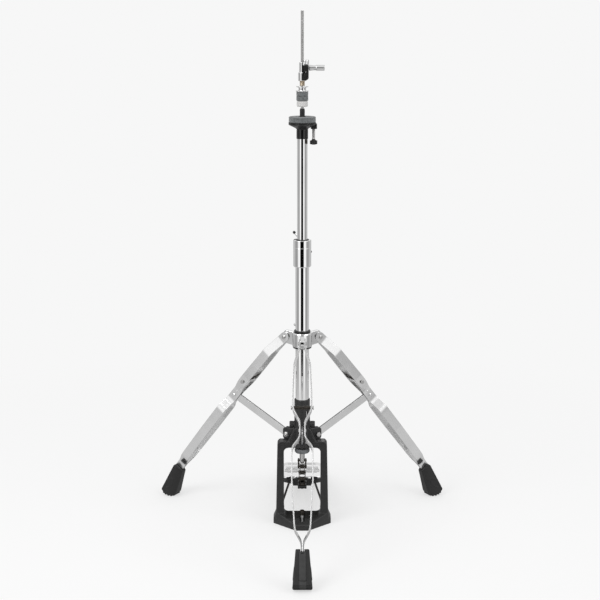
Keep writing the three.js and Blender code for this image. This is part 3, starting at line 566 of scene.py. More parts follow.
class Leg:
    """A leg's middle line, and places measured along and across it."""

    def __init__(self):
        hinge = pivot("leg_front_hinge")
        self.corners = [Vector((hinge.xy.length, hinge.z)), BEND, WAIST, LEG_END]
        self.starts = [0.0]
        for one, two in zip(self.corners, self.corners[1:]):
            self.starts.append(self.starts[-1] + (two - one).length)

    def spot(self, distance, across=0.0):
        part = max(i for i in range(len(self.corners) - 1) if i == 0 or distance >= self.starts[i])
        heading = (self.corners[part + 1] - self.corners[part]).normalized()
        middle = self.corners[part] + heading * (distance - self.starts[part])
        # The direction across turns gradually near the bend, so that the strip's edges stay smooth.
        first = (self.corners[1] - self.corners[0]).normalized()
        second = (self.corners[2] - self.corners[1]).normalized()
        share = (distance - self.starts[1]) / (2 * BEND_EASE) + 0.5
        if 0 < share < 1:
            heading = first.lerp(second, share * share * (3 - 2 * share)).normalized()
        return middle + Vector((-heading.y, heading.x)) * across


LEG = Leg()


def strip_path():
    """The strip's middle face as (distance, offset) points, close together and rounded at each corner."""
    half = STRIP["thickness"] / 2
    last = len(STRIP_BOW) - 1
    corners = [
        (along, out - half) if i in (0, last) else (along, out - half, BOW_ROUNDING)
        for i, (along, out) in enumerate(STRIP_BOW)
    ]
    knots = rounded(corners, 5)
    points = [knots[0]]
    for knot in knots[1:]:
        pieces = max(1, math.ceil((knot - points[-1]).length / 5))
        start = points[-1]
        points += [start.lerp(knot, (k + 1) / pieces) for k in range(pieces)]
    return points


def strip(side):
    """One bent strip, drawn with the leg's direction along +X; its hinge end is round."""
    path = strip_path()
    half, edge = STRIP["thickness"] / 2, STRIP["edge"]
    start = path[0].x
    shape = bmesh.new()
    rings = []
    tip = [0.02, 0.3, 1.0, 2.1, 3.6, 5.4, 7.4]
    stations = [Vector((start + reach, path[0].y)) for reach in tip]
    stations += [point for point in path if point.x > start + 9]
    for i, point in enumerate(stations):
        ahead = (stations[min(i + 1, len(stations) - 1)] - stations[max(i - 1, 0)]).normalized()
        normal = Vector((-ahead.y, ahead.x))
        reach = min(point.x - start, STRIP["width"] / 2)
        wide = math.sqrt(max(STRIP["width"] ** 2 / 4 - (STRIP["width"] / 2 - reach) ** 2, 0.01))
        section = rectangle(-wide, -half, wide, half, min(edge, wide * 0.9))
        ringed = []
        for across, up in section:
            place = point + normal * up
            spot = LEG.spot(place.x, across)
            ringed.append(shape.verts.new((spot.x, place.y * side, spot.y)))
        rings.append(ringed)
    return skin(shape, rings)


def dome(radius, height, base=0.3):
    """A low round rivet head standing on Z = 0."""
    return turned([
        (0, -base), (radius, -base), (radius, height * 0.3, 0.2), (radius * 0.6, height, radius * 0.5),
        (0, height),
    ], 28)


def sideways(vector, turn):
    """How far a place stands, or a normal points, out of a leg's middle plane."""
    heading = math.radians(turn)
    return abs(vector.y * math.cos(heading) - vector.x * math.sin(heading))


def outward(vector, turn):
    """How far a place stands, or a normal points, away from the column along a leg."""
    heading = math.radians(turn)
    return vector.x * math.cos(heading) + vector.y * math.sin(heading)


def leg_strip(node, side, turn):
    """A strip with its two rivet heads; its edges carry a painted dark reflection, darkest near the boot."""
    shape = strip(side)
    for distance, radius in ((LEG.starts[2], 3.7), (LEG.starts[2] - 12, 2.3)):
        spot = LEG.spot(distance)
        head = laid("y", dome(radius, 1.4), (0, STRIP_BOW[6][1] - 0.1, 0))
        if side < 0:
            spun(head, 180, "Z")
        shape = joined(shape, moved(head, spot.x, 0, spot.y))
    holes = []
    for distance in (0, SPACER_AT):
        spot = LEG.spot(distance)
        holes.append(laid("y", bar(2.7, -40, 40, 0.1, 24), (spot.x, 0, spot.y)))
    # The edge faces are painted darker as a dark reflection, darker still near the boot.
    fine(node, spun(cut(shape, *holes), turn), STRIP_CHROME, accents=[
        (STRIP_EDGE_REFLECTION, lambda at, normal: sideways(normal, turn) < 0.5),
        (EDGE_DARK_REFLECTION, lambda at, normal: sideways(normal, turn) < 0.5 and at.z < DARKEST_REFLECTION_BELOW),
    ])


def hinge_pin(node, turn):
    spot = LEG.spot(0)
    outer = STRIP_BOW[0][1]
    heads = [moved(dome(4.1, 1.6), 0, 0, outer + 0.1) for _ in range(2)]
    spun(heads[1], 180, "X")
    pin = joined(bar(2.5, -outer - 0.5, outer + 0.5, 0.1, 24), *heads)
    fine(node, spun(laid("y", pin, (spot.x, 0, spot.y)), turn), BARE_STEEL)


def spacer_bolt(node, turn):
    """A cross bolt with a hex head, a lock nut and a tube that keeps the strips apart."""
    spot = LEG.spot(SPACER_AT)
    out = 19.0
    head = slab(hexagon(3.9, 0.6), out, out + 2.0, 0.4)
    nut = slab(hexagon(3.9, 0.6), -out - 2.0, -out, 0.4)
    pin = joined(bar(2.4, -out - 0.6, out + 0.6, 0.2, 20), bar(3.4, -15.6, 15.6, 0.3, 28), head, nut)
    between = STRIP_BOW[4][1] - STRIP["thickness"]
    pin = laid("y", pin, (spot.x, 0, spot.y))
    fine(node, spun(pin, turn), BARE_STEEL,
         accents=[(BLACK_STEEL, lambda at, _: sideways(at, turn) < between)])


# The boot's outline in the leg's plane, (distance from the column, height, rounding).
BOOT = [
    (296.0, 70.6, 2.5), (278.6, 57.4, 2.5), (293.5, 9.5, 7.0), (299.0, 0.2, 4.0), (309.5, 0.2, 16.0),
    (321.0, 4.4, 9.0), (325.8, 14.0, 4.0),
]
BOOT_HALF = {"top": 12.3, "sole": 18.3, "inner": 0.5, "sole_height": 1.0, "top_height": 66.0}
BOOT_MARK = {"r": 306.0, "z": 30.0, "across": 6.2, "along": 13.0, "line": 1.5}


def boot_half(r, z):
    """The boot's half width: wider toward the floor, narrower on the side that faces the column."""
    low, high = BOOT_HALF["sole_height"], BOOT_HALF["top_height"]
    up = max(0.0, min(1.0, (z - low) / (high - low)))
    half = BOOT_HALF["sole"] + (BOOT_HALF["top"] - BOOT_HALF["sole"]) * up
    outer = 326.0 - 30.0 * up
    inner = 292.0 - 13.5 * up
    share = max(0.0, min(1.0, (r - inner) / (outer - inner)))
    return half * (BOOT_HALF["inner"] + (1 - BOOT_HALF["inner"]) * math.sin(share * math.pi / 2))


def rubber_foot(node, turn):
    """A moulded boot: grip ribs across a round sole, an oval panel on each side and a slot for the strips."""
    body = slab(rounded(BOOT, 6), -20, 20, 2.0, "xz", 4)
    body = melted(body, 1.6, 0)
    ovals = []
    lean = math.atan2(LEG_END.y - WAIST.y, LEG_END.x - WAIST.x)
    for side in (-1, 1):
        shells = []
        for inset, depth in ((0.0, 0.9), (BOOT_MARK["line"], 3.0)):
            outline = []
            for spot in circle(1, 40):
                along = spot.x * (BOOT_MARK["along"] - inset)
                across = spot.y * (BOOT_MARK["across"] - inset)
                outline.append(Vector((
                    BOOT_MARK["r"] + along * math.cos(lean) - across * math.sin(lean),
                    BOOT_MARK["z"] + along * math.sin(lean) + across * math.cos(lean),
                )))
            near, far = sorted((side * 17, side * (20 + depth)))
            shells.append(slab(outline, near, far, 0.3, "xz"))
        ovals.append(cut(*shells))
    body = joined(body, *ovals)
    for vert in body.verts:
        vert.co.y *= boot_half(vert.co.x, vert.co.z) / 20
    panel = rounded([(292, 64, 1), (300.0, 66.8, 1.5), (323.6, 22.4, 1.5), (314, 20, 1)])
    body = joined(body, slab(panel, -6.2, 6.2, 0.8, "xz"))
    # The strips run into the boot through a slot.
    slot = []
    for distance in (LEG.starts[3] - 25, LEG.starts[3] + 6):
        for across in (-9.3, 9.3):
            spot = LEG.spot(distance, across)
            slot += [(spot.x, -3.4, spot.y), (spot.x, 3.4, spot.y)]
    ribs = []
    lowest = [point for point in rounded(BOOT, 6) if point.y < 15]
    lengths = [0.0]
    for here, after in zip(lowest, lowest[1:]):
        lengths.append(lengths[-1] + (after - here).length)
    count = int(lengths[-1] // 5.8)
    for k in range(1, count):
        reach = lengths[-1] * k / count
        part = max(i for i in range(len(lengths) - 1) if lengths[i] <= reach)
        share = (reach - lengths[part]) / (lengths[part + 1] - lengths[part])
        spot = lowest[part].lerp(lowest[part + 1], share)
        ribs.append(laid("y", bar(2.2, -25, 25, 0, 14), (spot.x, 0, spot.y)))
    shape = cut(body, hull(slot), *ribs)
    # The outward faces of the middle panel are painted lighter as a sheen.
    fine(node, spun(melted(shape, 0.6, 1), turn), RUBBER, ALL_SMOOTH, [
        (RUBBER_PAINTED_SHEEN, lambda at, normal: (
            4 < at.z < 66 and outward(normal, turn) > 0.8 and sideways(at, turn) < 6
        )),
        (BLACK_PLASTIC, lambda at, _: at.z < 3.2),
    ])


def brace(node, name, turn):
    """A flat bar with round ends, turned about its bolt in the casting's lug."""
    start = pivot(f"brace_{name}_hinge")
    start = Vector((start.xy.length, start.z))
    end = LEG.corners[2]
    length = (end - start).length
    half = BRACE_HALF
    outline = rounded([(-half, -half, half), (length + half, -half, half), (length + half, half, half),
                       (-half, half, half)], 10)
    thick = BRACE_THICKNESS / 2
    shape = slab(outline, -thick, thick, 0.45, "xz")
    shape = cut(shape, laid("y", bar(3.2, -9, 9, 0.1, 28)))
    rise = math.degrees(math.atan2(end.y - start.y, end.x - start.x))
    moved(spun(shape, -rise, "Y"), start.x, 0, start.y)
    # The brace's upward faces carry a painted dark reflection.
    fine(node, spun(shape, turn), STRIP_CHROME, accents=[(EDGE_DARK_REFLECTION, lambda _, normal: normal.z > 0.4)])


def lug_bolt(node, name, turn):
    place = pivot(f"brace_{name}_hinge")
    low, high = 6.2, 9.5
    washer = ring(2.6, 5.6, low, low + 0.9, 0.2, 36)
    head = joined(slab(hexagon(5.0, 0.7), -high, -low, 0.6), moved(dome(2.2, 0.8), 0, 0, high))
    cap = turned([(0, low + 0.5), (4.9, low + 0.5), (4.9, high - 0.9, 0.5), (3.6, high, 0.8), (0, high)], 36)
    cap = cut(cap, slab(circle(2.3, 6), high - 1.6, high + 3, 0.05))
    pin = merged(joined(bar(2.9, -7.4, 7.4, 0.2, 24), head), washer, cap)
    fine(node, spun(laid("y", pin, (place.xy.length, 0, place.z)), turn), BARE_STEEL)


def legs():
    for name in LEGS:
        turn = leg_turn(name)
        leg_strip(f"leg_{name}_strip_a", -1, turn)
        leg_strip(f"leg_{name}_strip_b", 1, turn)
        hinge_pin(f"leg_{name}_hinge_pin", turn)
        spacer_bolt(f"leg_{name}_spacer_bolt", turn)
        rubber_foot(f"leg_{name}_foot", turn)
        brace(f"brace_{name}", name, turn)
        lug_bolt(f"brace_{name}_bolt", name, turn)


def leg_collar():
    """The sliding collar: a chromed casting with an ear for each leg and a clamp boss."""
    tube = span("lower_tube")[1].x + 0.25
    hinge = pivot("leg_front_hinge")
    reach = hinge.xy.length
    bottom, top = span("leg_collar")[0].z, span("collar_ring")[0].z + 1.2
    radius = 18.5
    body = turned([
        (tube, bottom, 0.4), (radius - 0.8, bottom, 0.8), (radius - 0.8, bottom + 2.8, 0.3),
        (radius, bottom + 3.4, 0.3), (radius, top - 2, 0.5), (radius - 1.2, top, 0.8), (tube, top, 0.4),
    ], 96)
    turns = [leg_turn(name) for name in LEGS]
    ears = []
    for turn in turns:
        outline = rounded([
            (14, bottom + 2, 1), (33, bottom + 5, 3),
            (reach + 6.4, hinge.z - 4, 6), (reach + 6.4, hinge.z + 5, 6),
            (reach - 2, top + 1, 4), (14, top - 1.5, 1),
        ])
        ears.append(spun(slab(outline, -3.5, 3.5, 0.9, "xz"), turn))
    z = pivot("collar_bolt_turn").z
    bosses, cuts = boss("leg_collar", z, bar(tube, bottom - 5, top + 5, 0, 96))
    holes = [spun(laid("y", bar(2.7, -9, 9, 0.1, 24), (reach, 0, hinge.z)), turn) for turn in turns]
    # The collar's lowest band is painted black: a painted shadow under its rim.
    rim = (BLACK_PLASTIC, lambda at, _: at.z < bottom + 2.9 and at.xy.length < radius + 0.2)
    fine("leg_collar", cut(joined(body, *ears, *bosses), *cuts, *holes), CAST_CHROME, accents=[rim])

    low, high = span("collar_ring")
    fine("collar_ring", ring(tube, high.x, low.z + 1.5, high.z, 0.9, 80), BLACK_PLASTIC)


# ---- pedal frame ---------------------------------------------------------------------------------
CAST = {"post": 12.0, "window": 35.5, "sill": 18.3, "lintel": 156.8, "shoulder": 169.0, "grain": 0.9}
NECK_CLAMP = 201.0
ROD_WIRE = 2.25
ROD_AT_FRAME = 33.0
ROD_AT_HEEL = {"x": 21.0, "z": 11.0}


def base_plan(half, nose, front, side, back, z):
    """The base's outline at one height: six corners, pointed toward the front leg."""
    corners = ((-half, side), (-nose, front), (nose, front), (half, side), (half, back), (-half, back))
    return [(*corner, z) for corner in corners]


def pedal_frame():
    """The casting: a window frame on a pointed base, a neck socket, and lugs for the braces."""
    low, high = span("pedal_frame")
    depth, window = CAST["post"], CAST["window"]
    base_half = high.x
    foot_half = base_half - 5
    top_half = foot_half - 3.2
    shoulder = CAST["shoulder"]
    posts = slab(rounded([
        (-foot_half, 11), (foot_half, 11), (top_half, shoulder - 5, 3), (top_half - 4, shoulder, 4),
        (-top_half + 4, shoulder, 4), (-top_half, shoulder - 5, 3),
    ]), -depth, depth, 1.6, "xz")
    opening = slab(rectangle(-window, CAST["sill"], window, CAST["lintel"], 9), -60, 60, 0.1, "xz")
    base = hull([
        *base_plan(base_half, 12, low.y, -4, 20, 0), *base_plan(base_half, 12, low.y, -4, 20, 9.5),
        *base_plan(base_half - 1.2, 11, low.y + 1.5, -4, 19, 11.2),
        *base_plan(base_half - 2, 8, -depth - 12, -4, 18, 14.5),
        *base_plan(foot_half, 30, -depth, -depth + 2, depth, CAST["sill"]),
        *base_plan(foot_half, 30, -depth, -depth + 2, depth, CAST["sill"] + 6),
    ])
    neck_radius = 15.0
    neck = turned([
        (0, 153), (14.5, 153, 0.6), (neck_radius, 158, 1), (neck_radius, high.z, 1.2), (0, high.z),
    ], 72)
    clamp = laid("x", turned([
        (0, -24.5), (5.6, -24.5, 1), (6.6, -23, 0.6), (6.6, -17, 0.4), (5.8, -16, 0.4),
        (5.8, 16, 0.4), (6.6, 17, 0.4), (6.6, 23, 0.6), (5.6, 24.5, 1), (0, 24.5),
    ], 40), (0, 0, NECK_CLAMP))
    web = rounded([(-27, shoulder - 1), (27, shoulder - 1), (15, 197, 10), (-15, 197, 10)])
    web = slab(web, -11, 11, 2, "xz")
    solids = [base, neck, clamp, web]
    cuts = [opening]
    lug = pivot("brace_front_hinge")
    reach = lug.xy.length
    for turn in [leg_turn(name) for name in LEGS]:
        for side in (-1, 1):
            near, far = sorted((side * 2.1, side * 5.9))
            ear = slab(rectangle(7, lug.z - 10.5, reach + 8.4, lug.z + 13.5, 6), near, far, 0.9, "xz")
            solids.append(spun(ear, turn))
        gap = block((22.5, -2.1, lug.z - 10), (48, 2.1, lug.z + 24), 0.2)
        hole = laid("y", bar(3.2, -12, 12, 0.1, 28), (reach, 0, lug.z))
        cuts += [spun(gap, turn), spun(hole, turn)]
    tube = span("lower_tube")
    cuts.append(bar(tube[1].x + 0.3, tube[0].z - 0.4, high.z + 5, 0.1, 72))
    cuts.append(bar(5.6, 140, tube[0].z + 5, 0.1, 40))
    cuts.append(spun(block((-1.9, -20, 219), (1.9, -5, 231), 0.6), 42))
    anchor = span("anchor_screw")
    cuts.append(block((-4.7, -33, -5), (4.7, anchor[1].y - 2, 40), 1.2))
    lug_x = span("radius_rod_right")[1].x - ROD_WIRE
    for side in (-1, 1):
        solids.append(block((side * lug_x - 4.4, 8, 25), (side * lug_x + 4.4, 24, 41), 1.4))
        cuts.append(laid("y", bar(2.7, 13, 30, 0.1, 24), (side * lug_x, 0, ROD_AT_FRAME)))
        # Lightening pockets in the outer faces of the posts, open to the sides.
        pocket = slab(rounded([(-6.5, 42, 5), (6.5, 42, 5), (6.5, 146, 5), (-6.5, 146, 5)]), 0, 9, 1.2, "yz")
        cuts.append(moved(pocket, foot_half - 3.6 if side > 0 else -foot_half - 5.4))
    shape = cut(joined(posts, *solids), *cuts)
    fine("pedal_frame", melted(shape, CAST["grain"], 2), CASTING, ALL_SMOOTH)


def anchor_screw():
    low, high = span("anchor_screw")
    y = (low.y + high.y) / 2
    tip = turned([(0, low.z), (1.0, low.z, 0.4), (3.0, 6, 0.6), (3.0, 8), (0, 8)], 28)
    screw = thread(3.3, 0.4, 1.25, 6, 21, 28)
    nut = slab(hexagon(5.5, 0.8), 19.2, high.z - 2.4, 0.7)
    cap = turned([(0, high.z - 4), (4.6, high.z - 4), (4.6, high.z, 1.0), (0, high.z)], 36)
    nut_low = 19.0
    fine("anchor_screw", moved(joined(tip, screw, nut, cap), 0, y, 0), BLACK_STEEL,
         accents=[(ZINC, lambda at, _: at.z < nut_low)])


def rod_bumper():
    low, high = span("rod_bumper")
    bore = 5.5
    fine("rod_bumper", turned([
        (bore, low.z, 0.5), (high.x - 1.6, low.z, 1.2), (high.x, low.z + 2.2, 1.0),
        (high.x, high.z - 1.8, 0.8), (high.x - 1.2, high.z, 0.6), (bore, high.z, 0.5),
    ], 72), GREY_RUBBER)


# ---- pull rod, spring and chain ------------------------------------------------------------------
PITCH = 12.7
COUPLER_PIN = 127.5


def pull_rod():
    low, high = span("pull_rod_lower")
    perch = span("return_spring")[1].z
    rod = turned([
        (0, low.z), (2.6, low.z, 0.4), (5, low.z + 4.5, 1.5), (5, perch + 20, 0.3), (0, perch + 20),
    ], 48)
    disc = bar(10, perch + 0.3, perch + 5.8, 0.8, 48)
    coupler = slab(hexagon(6.5, 0.8), high.z - 25, high.z, 0.8)
    rod = joined(rod, disc, coupler)
    bore = bar(3.0, high.z - 12, high.z + 5, 0.1, 32)
    fine("pull_rod_lower", cut(rod, bore, cross(2.3, 12, COUPLER_PIN, 0.1, 24)), BARE_STEEL)
    low, high = span("pull_rod_upper")
    fine("pull_rod_upper", bar(high.x, low.z, high.z, 0.9, 40), BARE_STEEL)


SPRING = {"mean": 7.6, "wire": 1.05, "turns": 8, "travel_kept": 0.844}


def return_spring():
    """A coil with closed ends, as long as the frame's spring."""
    low, high = span("return_spring")
    wire, turns = SPRING["wire"], SPRING["turns"]
    steps = turns * 40
    # The pitch is small in the first and last three quarters of a turn.
    ease = 0.75 / turns
    flat = 2.3 * wire
    start, end = low.z + wire + flat * 0.35, high.z - wire - flat * 0.35
    path = []
    for k in range(steps + 1):
        share = k / steps
        if share < ease:
            height = low.z + wire + flat * share / ease * 0.35
        elif share > 1 - ease:
            height = high.z - wire - flat * (1 - share) / ease * 0.35
        else:
            height = start + (end - start) * ((share - ease) / (1 - 2 * ease))
        turn = 2 * math.pi * turns * share
        path.append(Vector((SPRING["mean"] * math.cos(turn), SPRING["mean"] * math.sin(turn), height)))
    made = fine("return_spring", swept(path, circle(wire, 12)), BLACK_STEEL)
    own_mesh(made)


def link_outline(top, bottom, radius=4.9, waist=3.3):
    """A figure-of-eight link plate in the Y-Z plane."""
    points = []
    for k in range(13):
        turn = math.radians(-20 + 220 * k / 12)
        points.append(Vector((radius * math.cos(turn), top + radius * math.sin(turn))))
    points.append(Vector((-waist, (top + bottom) / 2)))
    for k in range(13):
        turn = math.radians(160 + 220 * k / 12)
        points.append(Vector((radius * math.cos(turn), bottom + radius * math.sin(turn))))
    points.append(Vector((waist, (top + bottom) / 2)))
    return points


def chain_link(node, top, inner):
    """An inner link has bushes with rollers, an outer link has pins with riveted ends."""
    bottom = top - PITCH
    near, far = (3.4, 4.8) if inner else (5.2, 6.6)
    faces = [sorted((side * near, side * far)) for side in (-1, 1)]
    plates = [slab(link_outline(top, bottom), *pair, 0.3, "yz") for pair in faces]
    if inner:
        bores = [cross(2.45, 9, z, 0.1) for z in (top, bottom)]
        rollers = [laid("x", ring(2.45, 4.0, -3.35, 3.35, 0.3, 40), (0, 0, z)) for z in (top, bottom)]
        shape = merged(*[cut(plate, *[each.copy() for each in bores]) for plate in plates], *rollers)
        for each in bores:
            each.free()
    else:
        pins = [laid("x", turned([
            (0, -7.4), (1.5, -7.4, 0.3), (2.0, -6.9, 0.2), (2.0, 6.9, 0.2), (1.5, 7.4, 0.3), (0, 7.4),
        ], 28), (0, 0, z)) for z in (top, bottom)]
        shape = joined(*plates, *pins)
    fine(node, shape, BLACK_STEEL)


def chain():
    clevis_top = span("chain_clevis")[1].z
    top = JOINTS["chain_swing"]["pos_m"][2] / MM
    cheeks = []
    for side in (-1, 1):
        near, far = sorted((side * 5.4, side * 8.4))
        outline = rounded([
            (-5, top, 5), (0, top - 6.4, 3.4), (5, top, 5),
            (5, COUPLER_PIN, 5), (0, clevis_top + 0.4, 3.4), (-5, COUPLER_PIN, 5),
        ])
        cheeks.append(slab(outline, near, far, 0.5, "yz"))
    pins = [cross(2.0, 9.0, z, 0.4) for z in (top, COUPLER_PIN)]
    fine("chain_clevis", joined(*cheeks, *pins), BLACK_STEEL)
    for k in range(3):
        chain_link(f"chain_link_{k + 1}", top - k * PITCH, inner=k != 1)
    z = top - 3 * PITCH
    parts = []
    for side in (-1, 1):
        near, far = sorted((side * 5.4, side * 8.6))
        outline = rounded([
            (-7.4, z - 7.4, 7.3), (7, z - 7.4, 4), (13.6, z - 5, 1.5),
            (13.6, z + 5, 1.5), (7, z + 7.4, 4), (-7.4, z + 7.4, 7.3),
        ], 8)
        parts.append(slab(outline, near, far, 0.8, "yz"))
    web = block((-8.6, 9.5, z - 5), (8.6, 13.6, z + 5), 1.0)
    screw = moved(bar(2.2, z - 12, z - 3, 0.6, 24), 0, 11.5, 0)
    cradle = cut(cross(7.2, 5.6, z, 0.1, 48), cross(5.7, 9, z, 0, 40), block((-9, -9, z), (9, 9, z + 9), 0.1))
    shape = joined(*parts, web, cradle, cross(2.0, 8.0, z), screw)
    fine("chain_anchor", shape, BLACK_PLASTIC)


# ---- footboard -----------------------------------------------------------------------------------
SLOT_ROWS = {78: ((-31, -8), (8, 31)), 140: ((-35, -25), (-21, -9), (9, 21), (25, 35))}
BOARD = {"toe": Vector((0, 20, 87.5)), "slope": 14.13, "length": 236.0, "thick": 4.0, "half": 45.0}


def tilted(shape):
    """Carries a piece drawn on the flat board, toe at Y = 0 and tread at Z = 0, to its place."""
    return moved(spun(shape, -BOARD["slope"], "X"), *BOARD["toe"])


def board_outline(inset=0.0):
    half, length = BOARD["half"] - inset, BOARD["length"] - 4 - inset
    toe = [Vector((-half + 2 * half * k / 16, 16 + inset - 15 * (1 - (1 - k / 8) ** 2))) for k in range(17)]
    return toe + [Vector(spot) for spot in ((half, 120), (half - 3, 170))] + rounded([
        (half - 3, 170), (half - 9, length, 5), (-half + 9, length, 5), (-half + 3, 170),
    ])[1:-1] + [Vector((-half + 3, 170)), Vector((-half, 120))]


def flattened(vector):
    """A direction or a distance from the toe, as (y, z) on the flat board."""
    slope = math.radians(BOARD["slope"])
    return (vector.y * math.cos(slope) - vector.z * math.sin(slope),
            vector.y * math.sin(slope) + vector.z * math.cos(slope))


def board_painted_shade(at, normal):
    """True for the footboard's faces painted dark as shade: its underside and the walls of its slots."""
    y, z = flattened(at - BOARD["toe"])
    in_slot = abs(at.x) < 36 and any(abs(y - row - 4) < 4.2 for row in SLOT_ROWS)
    return z < 0.2 - BOARD["thick"] or (in_slot and z < -0.1 and abs(flattened(normal)[1]) < 0.5)


def footboard():
    thick = BOARD["thick"]
    y, z = flattened(pivot("pedal_press") - BOARD["toe"])
    plate = slab(board_outline(), -thick, 0, 1.4)
    rim = cut(slab(board_outline(), -8, -1.5, 1.0), slab(board_outline(2.4), -9, -1.2, 0.1),
              block((-60, -20, -9), (60, 34, -thick), 0.1), block((-60, 196, -9), (60, 260, -thick), 0.1))
    knuckle = laid("x", bar(6, -13, 13, 0.8, 40), (0, y, z))
    tongue = block((-13, 214, -thick - 4), (13, y, -1), 1.0)
    slots = []
    for row, spans in SLOT_ROWS.items():
        slots += [slab(rectangle(left, row, right, row + 8, 3.9), -10, 10, 0.05) for left, right in spans]
    ribs = []
    for row in range(5):
        ribs.append(slab(rectangle(-36, 96 + 9 * row, 36, 98 + 9 * row, 0.9), -1, 0.8, 0.6))
        ribs.append(slab(rectangle(-34, 158 + 9 * row, 34, 160 + 9 * row, 0.9), -1, 0.8, 0.6))
    shape = joined(plate, rim, tongue, knuckle, *ribs)
    shape = cut(shape, *slots, laid("x", bar(3.3, -20, 20, 0.1, 32), (0, y, z)))
    # The underside and the slot walls are painted dark as shade.
    fine("footboard", tilted(shape), CAST_CHROME, accents=[(BLACK_STEEL, board_painted_shade)])

    under = -thick - 0.3
    band = cut(slab(board_outline(1), -15, under, 1.0), block((-60, 20, -19), (60, 300, 3), 0.1))
    wedges = [hull([
        (side * x, y, z) for y in (-20, 40) for x, z in ((18, -15), (18, -18), (52, -18), (52, -10.2))
    ]) for side in (-1, 1)]
    shape = joined(cut(band, *wedges), block((-18, -1.5, -18), (18, 34, under), 1.6))
    fine("toe_bracket", tilted(shape), SATIN_BLACK)


def heel_plate():
    low, high = span("heel_plate")
    hinge = pivot("pedal_press")
    half = high.x
    outline = rounded([(-half, 264.5, 3), (half, 264.5, 3), (half, high.y, 12), (-half, high.y, 12)], 8)
    plate = slab(outline, low.z, 19.5, 1.4)
    ears, holes = [], []
    for side in (-1, 1):
        near, far = sorted((side * 13.6, side * 34))
        ears.append(laid("x", bar(6.4, near, far, 0.8, 40), (0, hinge.y, hinge.z)))
        ears.append(block((near, hinge.y - 6.4, 0), (far, 267, hinge.z), 1.2))
        holes.append(laid("y", bar(2.75, 240, 262, 0.1, 24), (side * ROD_AT_HEEL["x"], 0, ROD_AT_HEEL["z"])))
    grip = [slab(rectangle(-30, 270 + 6 * k, 30, 272 + 6 * k, 0.9), 18, 20.2, 0.6) for k in range(4)]
    axle = moved(cross(3.0, 20, hinge.z), 0, hinge.y, 0)
    shape = cut(joined(plate, *ears, *grip, axle), *holes)
    fine("heel_plate", shape, CAST_CHROME)


def radius_rod(node, side):
    """A bent wire from the casting's lug to the heel plate."""
    low, high = span(node)
    outer = (high.x if side > 0 else low.x) - side * ROD_WIRE
    heel_x, heel_z = side * ROD_AT_HEEL["x"], ROD_AT_HEEL["z"]
    corners = [
        Vector((outer, low.y, ROD_AT_FRAME)), Vector((outer, 26, ROD_AT_FRAME)),
        Vector((heel_x, 246, heel_z)), Vector((heel_x, high.y, heel_z)),
    ]
    path = [corners[0]]
    for here, before, after in ((corners[1], corners[0], corners[2]), (corners[2], corners[1], corners[3])):
        start = here + (before - here).normalized() * 8
        end = here + (after - here).normalized() * 8
        path += [start.lerp(here, k / 8).lerp(here.lerp(end, k / 8), k / 8) for k in range(9)]
    path.append(corners[3])
    fine(node, swept(path, circle(2.2, 20)), BLACK_STEEL)


# ---- cymbal seat ---------------------------------------------------------------------------------
def matted(shape, strength, scale):
    """Pushes the surface in and out a little, as pressed felt is."""
    for vert in shape.verts:
        vert.co += vert.normal * strength * noise.noise(vert.co * scale)
        vert.co += vert.normal * strength * 0.6 * noise.noise(vert.co * scale * 3.1)
    return shape


def felt_disc(node, inner, outer, low, high, rounding):
    """A washer cut from pressed felt, with a lumpy surface and blunt edges."""
    rim = rounded([(inner, low, 0.4), (outer, low, rounding), (outer, high, rounding), (inner, high, 0.4)], 5)
    dense = []
    for here, after in zip(rim, rim[1:] + rim[:1]):
        pieces = max(1, math.ceil((after - here).length / 0.7))
        dense += [here.lerp(after, k / pieces) for k in range(pieces)]
    shape = bmesh.new()
    rings = [[shape.verts.new((*spot, point.y)) for spot in circle(point.x, 220)] for point in dense]
    skin(shape, rings, closed=True, caps=False)
    shape.normal_update()
    bmesh.ops.recalc_face_normals(shape, faces=shape.faces)
    return fine(node, matted(shape, 0.16, 0.9), FELT, ALL_SMOOTH)


